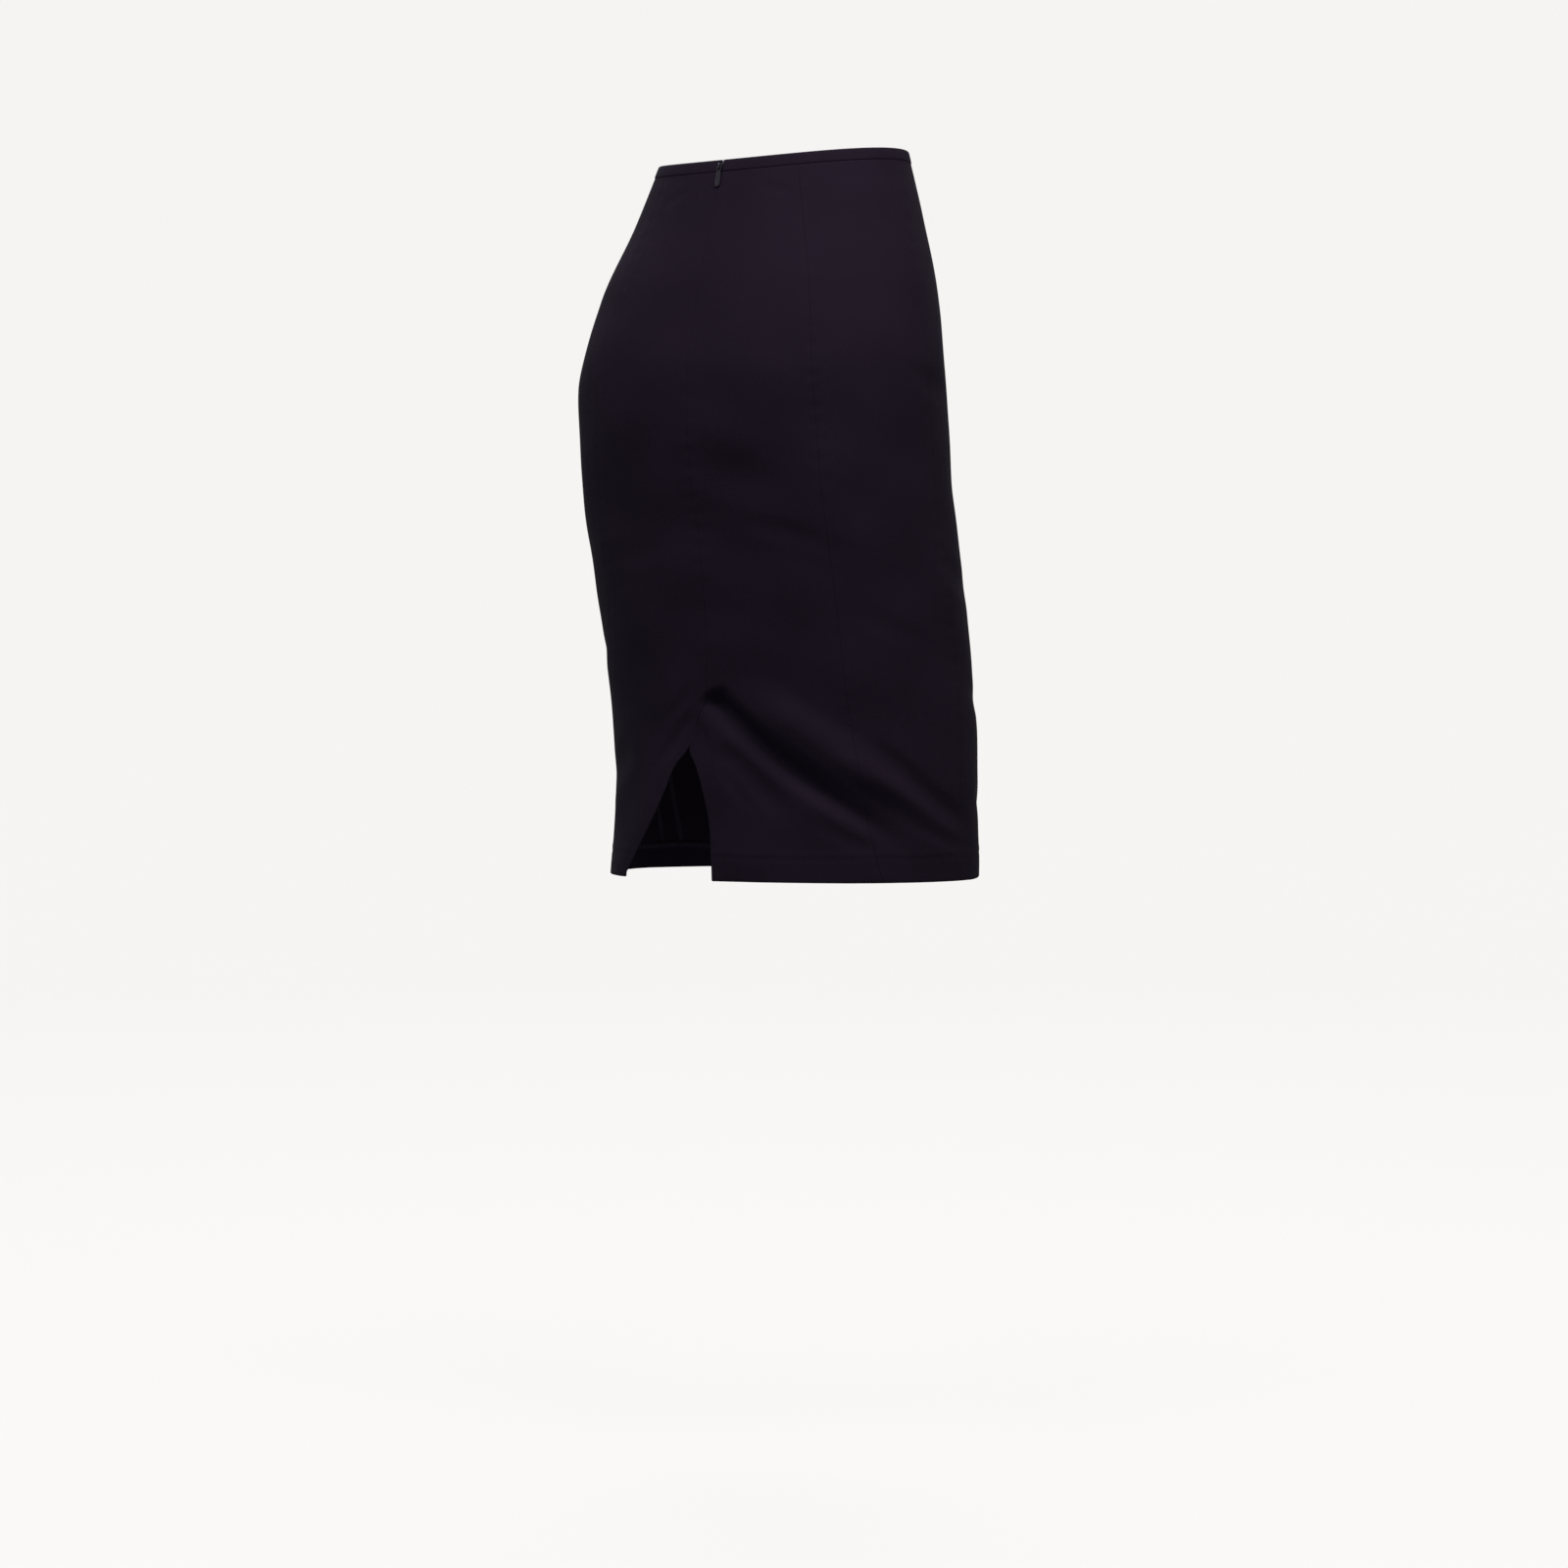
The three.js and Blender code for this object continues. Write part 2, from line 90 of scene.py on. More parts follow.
# Where the seams run, in degrees of turn. Below the slit's top each flap has an edge of its own.
Seams = namedtuple("Seams", "down left_side left_back left_flap right_flap right_back right_side")
SEAMS = (
    Seams(0, -90, -34, 0, 0, 34, 90),
    Seams(130, -89, -36.5, 0, 0, 39, 90),
    Seams(300, -89, -39, 0, 0, 41.2, 90),
    Seams(370, -89.5, -40, 2.6, 2.6, 42, 89.5),
    Seams(440, -91, -43.5, 3, 3, 42.8, 89),
    Seams(482, -93.5, -48, 2.4, 2.4, 43.8, 88.5),
    Seams(507, -96, -52, -0.6, -0.5, 44.8, 88.3),
    Seams(532, -98.5, -56.5, -4.1, -3.6, 46, 88),
    Seams(550, -100.5, -59.5, -9.4, -0.6, 46.9, 87.7),
    Seams(570, -102.5, -63, -12.6, 1.4, 48, 87.2),
    Seams(600, -106, -69, -18.4, 3.2, 50, 86.3),
    Seams(625, -109, -73.5, -25, 3.8, 52, 85.5),
    Seams(650, -112, -78, -32, 4, 54.3, 84.7),
)

# A fold runs from (turn0, down0) past (turn1, down1) to (turn2, down2), reaches `reach` to each side
# and stands `height` out of the cloth, or sinks in where it is negative. `fade_in` and `fade_out` are
# the shares of its length over which it rises and dies away.
Fold = namedtuple("Fold", "turn0 down0 turn1 down1 turn2 down2 reach height fade_in fade_out")
FOLDS = (
    # the drag line from the top of the slit across the right thigh, with the roll of cloth above it
    Fold(3, 483, 28, 552, 68, 628, 17, -7.4, 0.06, 0.45),
    Fold(9, 470, 42, 540, 82, 596, 26, 5, 0.3, 0.4),
    Fold(49, 524, 70, 572, 96, 606, 17, -3.2, 0.3, 0.35),
    Fold(6, 526, 16, 562, 30, 604, 16, -2.4, 0.25, 0.4),
    # the left flap, drawn forward by its hem
    Fold(-26, 520, -46, 552, -76, 578, 26, -3, 0.4, 0.5),
    Fold(-50, 566, -63, 606, -78, 644, 24, -3, 0.4, 0.3),
    # the front: two slack hollows across the thighs and one drag line towards the left hip
    Fold(128, 338, 165, 368, 205, 362, 38, -3.2, 0.4, 0.4),
    Fold(150, 468, 186, 512, 224, 534, 34, -3.4, 0.4, 0.4),
    Fold(208, 556, 226, 596, 240, 645, 24, -3.2, 0.45, 0.25),
)

# The smaller creases that lie over those folds.
CREASES = (
    # back: the pinched core of the drag line, its lip, and the slit's own small pulls
    Fold(2.6, 482, 26, 549, 62, 620, 9, -2.0, 0.03, 0.35),
    Fold(6, 476, 24, 524, 52, 574, 9, 0.5, 0.2, 0.5),
    Fold(34, 532, 56, 566, 86, 602, 17, 1.6, 0.3, 0.35),
    Fold(0.6, 500, 3.4, 520, 8, 548, 7, 0.8, 0.3, 0.6),
    Fold(5, 540, 12, 572, 22, 606, 7, -1.0, 0.4, 0.5),
    Fold(-3, 500, -11, 532, -24, 566, 10, -1.2, 0.2, 0.6),
    Fold(-1, 470, -9, 500, -20, 520, 9, -0.7, 0.3, 0.6),
    Fold(60, 590, 78, 612, 96, 622, 11, -1.3, 0.4, 0.5),
    Fold(30, 590, 44, 612, 60, 634, 12, -0.9, 0.4, 0.4),
    # back: the slack below the seat
    Fold(-58, 322, -8, 330, 40, 354, 72, -4.2, 0.35, 0.4),
    Fold(-6, 262, 12, 290, 34, 330, 30, -1.6, 0.4, 0.5),
    Fold(12, 332, 30, 346, 58, 372, 14, -0.8, 0.4, 0.5),
    Fold(-8, 352, -26, 362, -50, 356, 18, -0.9, 0.4, 0.5),
    Fold(44, 402, 62, 430, 84, 446, 16, -0.8, 0.4, 0.5),
    Fold(-46, 424, -62, 452, -84, 466, 18, -1.1, 0.4, 0.5),
    # back: short drags below the band
    Fold(16, 34, 26, 44, 38, 50, 9, -0.5, 0.4, 0.5),
    Fold(-10, 36, -22, 45, -32, 49, 9, -0.45, 0.4, 0.5),
    # right side
    Fold(72, 196, 92, 214, 116, 218, 18, -1.2, 0.4, 0.4),
    Fold(78, 356, 100, 384, 126, 396, 20, -1.5, 0.4, 0.4),
    Fold(92, 470, 112, 492, 138, 500, 16, -1.2, 0.4, 0.5),
    Fold(98, 560, 116, 590, 130, 632, 15, -1.6, 0.4, 0.3),
    # left side
    Fold(-74, 202, -92, 224, -112, 230, 17, -1.1, 0.4, 0.4),
    Fold(-80, 330, -100, 362, -128, 380, 20, -1.6, 0.4, 0.4),
    Fold(-86, 520, -108, 540, -134, 530, 18, -1.8, 0.4, 0.5),
    Fold(-90, 598, -112, 606, -136, 588, 13, -1.2, 0.4, 0.5),
    # front
    Fold(150, 38, 176, 47, 206, 41, 10, -0.7, 0.4, 0.4),
    Fold(140, 118, 160, 128, 184, 124, 16, -0.7, 0.5, 0.4),
    Fold(176, 268, 200, 290, 232, 284, 20, -1.4, 0.4, 0.5),
    Fold(148, 286, 130, 306, 112, 300, 18, -1.2, 0.4, 0.5),
    Fold(186, 404, 208, 424, 238, 418, 17, -1.4, 0.4, 0.5),
    Fold(140, 548, 158, 588, 168, 640, 18, -1.8, 0.4, 0.2),
    Fold(186, 578, 196, 606, 198, 646, 14, -1.2, 0.4, 0.2),
)

# The front's darts, sewn in from the band and pressed towards the centre.
Dart = namedtuple("Dart", "turn_top turn_point length groove reach")
DARTS = (
    Dart(158, 163, 92, -0.7, 2.6),
    Dart(137, 145, 104, -0.7, 2.6),
    Dart(202, 197, 92, -0.7, 2.6),
    Dart(223, 215, 104, -0.7, 2.6),
)

# Long, shallow waves in cloth that isn't drawn tight: waves per degree and per mm, and height.
Wave = namedtuple("Wave", "per_degree per_mm offset height")
WAVES = (
    Wave(0.021, 0.0109, 0.15, 0.34),
    Wave(-0.034, 0.0067, 0.62, 0.27),
    Wave(0.011, -0.0163, 0.38, 0.22),
)
WAVES_FROM, WAVES_FULL = 60, 220

# The slit's edges turn a little outwards below its top.
FLARE_TOP, FLARE_FULL, FLARE_REACH = 500, 590, 38
FLARE_LEFT, FLARE_RIGHT = 5, 3.5

# ---- the cut ----

# Each piece as it lies flat before sewing, with its seam allowances: widest width, length and area.
Cut = namedtuple("Cut", "width length area")
CUTS = {
    "front": Cut(0.516, 0.692, 0.3225),
    "side_back_left": Cut(0.148, 0.692, 0.0905),
    "centre_back_left": Cut(0.184, 0.702, 0.1005),
    "centre_back_right": Cut(0.204, 0.681, 0.1035),
    "side_back_right": Cut(0.140, 0.679, 0.0895),
    "waistband": Cut(0.690, 0.031, None),
    "zip_tape": Cut(0.0115, 0.186, None),
}

# ---- the zip ----

ZIP_BELOW = 7.5           # waist edge down to the slider's middle
ZIP_LENGTH = 200.0
ZIP_START = 2.0           # waist edge down to the tapes' tops
PARTING_HALF = 1.0        # half the gap that the slider holds open
PARTING_FROM, PARTING_TO = 11, 18        # where that gap starts to close, and is closed
CROWN_INSIDE, CROWN_FACE = 0.9, 1.8      # the slider's crown, out from the cloth
BODY_FACE, BODY_BACK = -3.35, -5.95      # its body, behind the cloth
SLIDER_HEIGHT = 7.0
CROWN_WIDTH = 3.4
PIVOT_OUT = 2.75          # the pull's hinge line, out from the cloth
PULL_LEAN = 5.5           # degrees, from the zip's slope in to the cloth

# Plates are drawn flat in X and Y. These turns stand them with their face out of the cloth, or with
# their thickness up the zip.
FACING_OUT = Matrix(((1, 0, 0, 0), (0, 0, 1, 0), (0, 1, 0, 0), (0, 0, 0, 1)))
ALONG_ZIP = Matrix(((0, 0, 1, 0), (0, 1, 0, 0), (1, 0, 0, 0), (0, 0, 0, 1)))


# ---- curves through the tables ----

def column(table, name):
    """A smooth curve through one column of a table that never overshoots its rows."""
    at = np.array([row.down for row in table], float)
    value = np.array([getattr(row, name) for row in table], float)
    rise = np.diff(value) / np.diff(at)
    slope = np.zeros_like(value)
    slope[0], slope[-1] = rise[0], rise[-1]
    same_way = rise[:-1] * rise[1:] > 0
    before, after = rise[:-1][same_way], rise[1:][same_way]
    slope[1:-1][same_way] = 2 / (1 / before + 1 / after)

    def curve(down):
        down = np.asarray(down, float)
        i = np.clip(np.searchsorted(at, down, side="right") - 1, 0, len(at) - 2)
        span = at[i + 1] - at[i]
        t = np.clip((down - at[i]) / span, 0, 1)
        rest = 1 - t
        ends = value[i] * rest * rest * (1 + 2 * t) + value[i + 1] * t * t * (3 - 2 * t)
        return ends + slope[i] * span * t * rest * rest - slope[i + 1] * span * t * t * rest

    return curve


section = {name: column(SECTIONS, name) for name in Section._fields[1:]}
seam = {name: column(SEAMS, name) for name in Seams._fields[1:]}


def ease(value, low, high):
    t = np.clip((value - low) / (high - low), 0, 1)
    return t * t * (3 - 2 * t)


def lerp(low, high, share):
    return low + (high - low) * share


def wrap(degrees):
    return (degrees + 180) % 360 - 180


# ---- the cloth's outer face ----

def plain(turn, down):
    """The form with no folds in it."""
    turn, down = np.broadcast_arrays(turn, down)
    ahead, aside = np.cos(np.radians(turn)), np.sin(np.radians(turn))
    square = section["square"](down)
    half = np.where(aside > 0, section["right"](down), section["left"](down))
    depth = np.where(ahead > 0, section["back"](down), section["front"](down))
    x = -half * aside * (1 + square * ahead ** 2)
    y = section["shift"](down) + depth * ahead * (1 + square * aside ** 2)
    return np.stack([x, y, -down], axis=-1)


def outwards(surface, turn, down):
    along = surface(turn + 0.3, down) - surface(turn - 0.3, down)
    below = surface(turn, down + 0.8) - surface(turn, down - 0.8)
    normal = np.cross(below, along)
    return normal / np.linalg.norm(normal, axis=-1, keepdims=True)


def fold_height(fold, turn, down):
    across = wrap(turn - fold.turn1) * ARC_PER_DEGREE
    height = np.zeros_like(across)
    start = np.array([(fold.turn0 - fold.turn1) * ARC_PER_DEGREE, fold.down0])
    finish = np.array([(fold.turn2 - fold.turn1) * ARC_PER_DEGREE, fold.down2])
    bend = 2 * np.array([0, fold.down1]) - (start + finish) / 2
    t = np.linspace(0, 1, FOLD_STEPS + 1)[:, None]
    path = start * (1 - t) ** 2 + 2 * bend * t * (1 - t) + finish * t ** 2
    low, high = path.min(axis=0) - fold.reach, path.max(axis=0) + fold.reach
    near = (across > low[0]) & (across < high[0]) & (down > low[1]) & (down < high[1])
    if not near.any():
        return height
    place = np.stack([across[near], down[near]], axis=-1)
    nearest = np.full(len(place), np.inf)
    share = np.zeros(len(place))
    for k in range(FOLD_STEPS):
        step = path[k + 1] - path[k]
        along = np.clip((place - path[k]) @ step / (step @ step), 0, 1)
        distance = np.linalg.norm(place - path[k] - along[:, None] * step, axis=-1)
        closer = distance < nearest
        nearest = np.where(closer, distance, nearest)
        share = np.where(closer, (k + along) / FOLD_STEPS, share)
    ends = ease(share, 0, fold.fade_in) * (1 - ease(share, 1 - fold.fade_out, 1))
    profile = 0.5 + 0.5 * np.cos(np.pi * np.clip(nearest / fold.reach, 0, 1))
    height[near] = fold.height * ends * profile
    return height


def flare_height(turn, down):
    from_left = (seam["left_flap"](down) - wrap(turn)) * ARC_PER_DEGREE
    from_right = (wrap(turn) - seam["right_flap"](down)) * ARC_PER_DEGREE
    left = np.where(from_left >= -2, FLARE_LEFT * np.exp(-(from_left / FLARE_REACH) ** 2), 0)
    right = np.where(from_right >= -2, FLARE_RIGHT * np.exp(-(from_right / FLARE_REACH) ** 2), 0)
    return ease(down, FLARE_TOP, FLARE_FULL) * np.maximum(left, right)


def dart_height(dart, turn, down):
    share = np.clip((down - PANEL_TOP) / dart.length, 0, 1)
    line = lerp(dart.turn_top, dart.turn_point, share)
    across = np.abs(turn % 360 - line) * WAIST_ARC_PER_DEGREE
    ends = 1 - ease(down - PANEL_TOP, 0.6 * dart.length, dart.length)
    return dart.groove * ends * np.exp(-(across / dart.reach) ** 2)


def wave_height(turn, down):
    total = sum(
        wave.height * np.sin(2 * np.pi * (wave.per_degree * turn + wave.per_mm * down + wave.offset))
        for wave in WAVES
    )
    towards_front = np.abs(np.cos(np.radians(turn / 2)))
    return total * ease(down, WAVES_FROM, WAVES_FULL) * np.sqrt(towards_front)


def relief(turn, down):
    height = flare_height(turn, down) + wave_height(wrap(turn), down)
    for fold in FOLDS + CREASES:
        height = height + fold_height(fold, turn, down)
    for dart in DARTS:
        height = height + dart_height(dart, turn, down)
    return height


def skin(turn, down):
    """The outer face of the cloth, with all its folds."""
    return plain(turn, down) + outwards(plain, turn, down) * relief(turn, down)[..., None]


def under(turn, down, depth):
    """The point `depth` inside the cloth's outer face."""
    turn, down, depth = (np.array(a, float) for a in np.broadcast_arrays(turn, down, depth))
    return skin(turn, down) - outwards(skin, turn, down) * depth[..., None]


def waist_edge(turn):
    return WAIST_DIP * ((1 + np.cos(np.radians(turn))) / 2) ** DIP_POWER


def degrees_for(length, turn, down):
    """A length along the cloth, turned into degrees at that place."""
    step = plain(turn + 0.5, down) - plain(turn - 0.5, down)
    return length / np.linalg.norm(step, axis=-1)


def centre_gap(row):
    """The gap beside the centre back line: wider where the slider parts the edges."""
    parting = 1 - ease(row, PARTING_FROM, PARTING_TO)
    return lerp(SEWN_TOUCH, PARTING_HALF, parting)


def sewn_gap(row):
    return np.full_like(row, SEWN_TOUCH)


# One edge of a panel: its seam, the full turns added to it, its gap, whether it has the slit's wider
# turning, and where the ripples of its stitching start.
Edge = namedtuple("Edge", "seam full_turns gap has_slit pucker")
EDGES = {
    "left_side": Edge("left_side", 0, sewn_gap, False, 0.11),
    "left_side_from_front": Edge("left_side", 1, sewn_gap, False, 0.11),
    "left_back": Edge("left_back", 0, sewn_gap, False, 0.37),
    "left_flap": Edge("left_flap", 0, centre_gap, True, 0.58),
    "right_flap": Edge("right_flap", 0, centre_gap, True, 0.58),
    "right_back": Edge("right_back", 0, sewn_gap, False, 0.83),
    "right_side": Edge("right_side", 0, sewn_gap, False, 0.29),
}


def edge_turn(edge, row):
    return seam[edge.seam](row) + 360 * edge.full_turns


def seam_pucker(edge, beside, row):
    """The small ripple that a line of stitching leaves in the cloth beside it."""
    phase = row / 17 + 0.6 * np.sin(row / 41 + 9 * edge.pucker) + edge.pucker
    strength = 0.09 + 0.06 * np.sin(row / 63 + 5 * edge.pucker)
    return strength * np.sin(2 * np.pi * phase) * np.exp(-(beside / 8) ** 2)


# ---- meshes from grids ----

def new_object(name, mesh):
    piece = bpy.data.objects.new(name, mesh)
    bpy.context.scene.collection.objects.link(piece)
    return piece


def mesh_from(bm, name):
    mesh = bpy.data.meshes.new(name)
    bm.to_mesh(mesh)
    bm.free()
    return mesh


def smooth(mesh):
    mesh.polygons.foreach_set("use_smooth", np.ones(len(mesh.polygons), bool))
    mesh.update()


def corners_of(mesh):
    co = np.empty(len(mesh.vertices) * 3)
    mesh.vertices.foreach_get("co", co)
    return co.reshape(-1, 3)


def shaped_grid(name, points, attributes):
    """A grid whose corner in row j and column i goes to points[j, i], in mm, with a cloth UV map."""
    down_count, across_count = points.shape[0] - 1, points.shape[1] - 1
    bm = bmesh.new()
    bmesh.ops.create_grid(bm, x_segments=across_count, y_segments=down_count, size=0.5)
    mesh = mesh_from(bm, name)
    flat = corners_of(mesh)
    low, high = flat.min(axis=0), flat.max(axis=0)
    i = np.rint((flat[:, 0] - low[0]) / (high[0] - low[0]) * across_count).astype(int)
    j = np.rint((high[1] - flat[:, 1]) / (high[1] - low[1]) * down_count).astype(int)
    mesh.vertices.foreach_set("co", (points[j, i] * MM).ravel())

    step_across = np.linalg.norm(np.diff(points, axis=1), axis=-1)
    step_down = np.linalg.norm(np.diff(points, axis=0), axis=-1)
    u = np.concatenate([np.zeros((down_count + 1, 1)), np.cumsum(step_across, axis=1)], axis=1)
    u -= u[:, across_count // 2][:, None]
    v = -np.concatenate([np.zeros((1, across_count + 1)), np.cumsum(step_down, axis=0)], axis=0)
    uv = np.stack([u[j, i], v[j, i]], axis=-1) * MM
    corner = np.empty(len(mesh.loops), int)
    mesh.loops.foreach_get("vertex_index", corner)
    mesh.uv_layers.new(name="Cloth").data.foreach_set("uv", uv[corner].ravel())
    for label, values in attributes.items():
        layer = mesh.attributes.new(label, "FLOAT", "POINT")
        layer.data.foreach_set("value", (values[j, i] * MM).astype(np.float32))
    smooth(mesh)
    return new_object(name, mesh)


def give_thickness(piece, thickness):
    shell = piece.modifiers.new("Cloth thickness", "SOLIDIFY")
    shell.thickness = thickness
    shell.offset = -1
    shell.use_rim = True


def finish_piece(piece, body, slot, material, *nodes):
    piece.data.materials.clear()
    piece.data.materials.append(material)
    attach(piece, body)
    if nodes:
        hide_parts(*nodes)
    return piece


# ---- panels ----

ROUND_STEPS = 7
ALLOWANCE_STEPS = 7
HEM_STEPS = 9
TUCK_STEPS = 3
EDGE_CROWDING = 0.5       # how much closer the columns stand beside a seam
TUCK_RISE = 3.6           # how far a panel runs on up inside the band
TUCK_DEPTH = 0.9          # how far it steps inwards there
TUCK_FROM, TUCK_TO = 10.1, 10.9          # and the levels between which it does
HEM_BULK = 1.2            # the hem's turn where a seam's layers are folded into it
FACING_BLEND = (486, 506)  # rows over which the slit's wider turning comes in
HEM_RISE, HEM_RISE_AT, HEM_RISE_REACH = 5, 124, 15     # the hem's lift over the right thigh
HEM_RISE_FROM = 560


def turned_depth(angle, radius):
    return radius - radius * np.cos(angle)


def side_stations(count):
    """Columns across a panel, from the raw edge round the turned edge, over the face and back."""
    round_in = np.linspace(np.pi, 0, ROUND_STEPS + 1)[:-1]
    allowance = np.linspace(1, 0, ALLOWANCE_STEPS + 1)[:-1]
    t = np.linspace(0, 1, count + 1)
    share = t - EDGE_CROWDING * np.sin(2 * np.pi * t) / (2 * np.pi)
    none_in, none_allowance = np.zeros(len(round_in)), np.zeros(len(allowance))
    side = np.concatenate([-np.ones(len(allowance) + len(round_in)), np.zeros(count + 1),
                           np.ones(len(allowance) + len(round_in))])
    flat = np.concatenate([allowance, none_in, np.zeros(count + 1), none_in, allowance[::-1]])
    angle = np.concatenate([none_allowance + np.pi, round_in, np.zeros(count + 1), round_in[::-1],
                            none_allowance + np.pi])
    across = np.concatenate([none_allowance, none_in, share, none_in + 1, none_allowance + 1])
    return side, flat, angle, across


def panel_points(low, high, across_step, down_step, sewing):
    """The whole cut of one panel, turned in at its seams and up at its hem."""
    radius = sewing.edge_turn / MM
    allowance = sewing.seam_allowance / MM
    facing = sewing.slit_facing / MM
    hem_depth = sewing.hem_depth / MM

    middle = np.array([300.0])
    span = edge_turn(high, middle) - edge_turn(low, middle)
    widest = float((span / degrees_for(1, (edge_turn(high, middle) + edge_turn(low, middle)) / 2, middle))[0])
    side, flat, angle, across = side_stations(round(widest / across_step))

    # rows: up inside the band, down the face, round the hem's fold and back up inside
    face_rows = round((HEM - PANEL_TOP) / down_step)
    face = np.linspace(0, 1, face_rows + 1)
    tuck = np.linspace(1, 0, TUCK_STEPS + 1)[:-1] * TUCK_RISE
    hem_round = np.linspace(0, np.pi, ROUND_STEPS + 1)[1:]
    hem_flat = np.linspace(0, 1, HEM_STEPS + 1)[1:]
    row_share = np.concatenate([np.zeros(len(tuck)), face, np.ones(len(hem_round) + len(hem_flat))])
    row_rise = np.concatenate([tuck, np.zeros(len(row_share) - len(tuck))])
    row_angle = np.concatenate([np.zeros(len(tuck) + len(face)), hem_round, hem_flat * 0 + np.pi])
    row_flat = np.concatenate([np.zeros(len(tuck) + len(face) + len(hem_round)), hem_flat])

    shape = (len(row_share), len(across))
    row = np.broadcast_to((PANEL_TOP + (HEM - PANEL_TOP) * row_share)[:, None], shape)
    level = row - np.broadcast_to(row_rise[:, None], shape)
    side, flat, angle, across = (np.broadcast_to(a[None, :], shape) for a in (side, flat, angle, across))

    low_turn, high_turn = edge_turn(low, row), edge_turn(high, row)
    per_mm_low = degrees_for(1, low_turn, row)
    per_mm_high = degrees_for(1, high_turn, row)
    base_low = low_turn + (low.gap(row) + radius) * per_mm_low
    base_high = high_turn - (high.gap(row) + radius) * per_mm_high

    extra = facing - allowance
    opened = ease(row, *FACING_BLEND)
    low_allowance = allowance + extra * opened * low.has_slit
    high_allowance = allowance + extra * opened * high.has_slit
    turned = np.where(side < 0, low_allowance, high_allowance)
    bulge = radius * np.sin(angle)
    travel = np.where(flat > 0, -flat * turned, bulge)
    turn = lerp(base_low, base_high, across)
    turn = np.where(side < 0, base_low - travel * per_mm_low, turn)
    turn = np.where(side > 0, base_high + travel * per_mm_high, turn)
    depth = turned_depth(angle, radius)

    from_low = (turn - base_low) / per_mm_low
    from_high = (base_high - turn) / per_mm_high
    beside_low, beside_high = np.maximum(from_low, 0), np.maximum(from_high, 0)

    # the pressed allowances show through as a faint step, and the stitching ripples the cloth
    show = sewing.show_through / MM
    step = np.maximum(
        1 - ease(beside_low, low_allowance - 2, low_allowance + 2),
        1 - ease(beside_high, high_allowance - 2, high_allowance + 2),
    )
    lift = show * step
    for edge, beside in ((low, beside_low), (high, beside_high)):
        lift = lift + seam_pucker(edge, beside, row)
    hem_line = HEM - hem_depth + 2
    beside_hem = HEM - row
    lift = lift + 1.6 * show * (1 - ease(beside_hem, hem_depth - 2.5, hem_depth + 2.5))
    lift = lift + 2.2 * show * np.exp(-((row - hem_line + 4) / 2.6) ** 2)
    lift = lift - 2.0 * show * np.exp(-((row - hem_line) / 1.9) ** 2)
    lift = lift * ease(row, PANEL_TOP + 1, PANEL_TOP + 10)

    # the hem's turn is wider where the side allowances are folded into it
    near_edge = np.maximum(
        1 - ease(beside_low, low_allowance + 3, low_allowance + 16),
        1 - ease(beside_high, high_allowance + 3, high_allowance + 16),
    )
    hem_radius = lerp(radius, HEM_BULK, near_edge)
    row_angle = np.broadcast_to(row_angle[:, None], shape)
    row_flat = np.broadcast_to(row_flat[:, None], shape)
    swing = hem_radius - depth
    in_hem = row_angle > 0
    depth = np.where(in_hem, hem_radius - swing * np.cos(row_angle), depth)
    hem_travel = np.where(row_flat > 0, -row_flat * hem_depth, swing * np.sin(row_angle))

    top = waist_edge(turn) + PANEL_TOP
    share = np.broadcast_to(row_share[:, None], shape)
    down = lerp(top, HEM - hem_radius, share) - (row - level) + hem_travel
    near_rise = np.exp(-(wrap(turn - HEM_RISE_AT) / HEM_RISE_REACH) ** 2)
    down = down - HEM_RISE * ease(row, HEM_RISE_FROM, HEM) * near_rise

    # under the band the panel steps inwards, and its pressed layers lie closer
    inside = 1 - ease(level, TUCK_FROM, TUCK_TO)
    depth = depth * lerp(1, 0.35, inside) + TUCK_DEPTH * inside - lift

    points = under(turn, down, depth)
    raw_side = np.where(flat > 0, turned * (1 - flat), FAR)
    raw_hem = np.where(row_flat > 0, hem_depth * (1 - row_flat), FAR)
    attributes = {
        "raw_edge": np.minimum(raw_side, raw_hem),
        "above_hem": np.where(in_hem, FAR, HEM - row),
    }
    return points, attributes


def make_panel(name, low, high, across_step, down_step):
    cut, sewing = CUTS[name], bpy.context.scene.skirt_sewing
    points, attributes = panel_points(EDGES[low], EDGES[high], across_step, down_step, sewing)
    piece = shaped_grid(name + "_crepe", points, attributes)
    give_thickness(piece, sewing.cloth_thickness)
    finish_piece(piece, "skirt", "cloth", crepe_material(), name)
    return piece


# ---- waistband ----

BAND_INNER = 2.6          # the inside layer's face, in from the panels' outer face
BAND_TURN_IN = 4.0        # the outer layer's allowance, turned up inside
BAND_FOOT = 0.42          # radius at the outer layer's lower edge
BAND_STANDS = 0.15        # how far its outer layer stands out from the panels
BAND_COLUMNS = 300
BAND_END = 1.8            # length over which each end closes to a rounded edge
BAND_END_THICK = 0.3


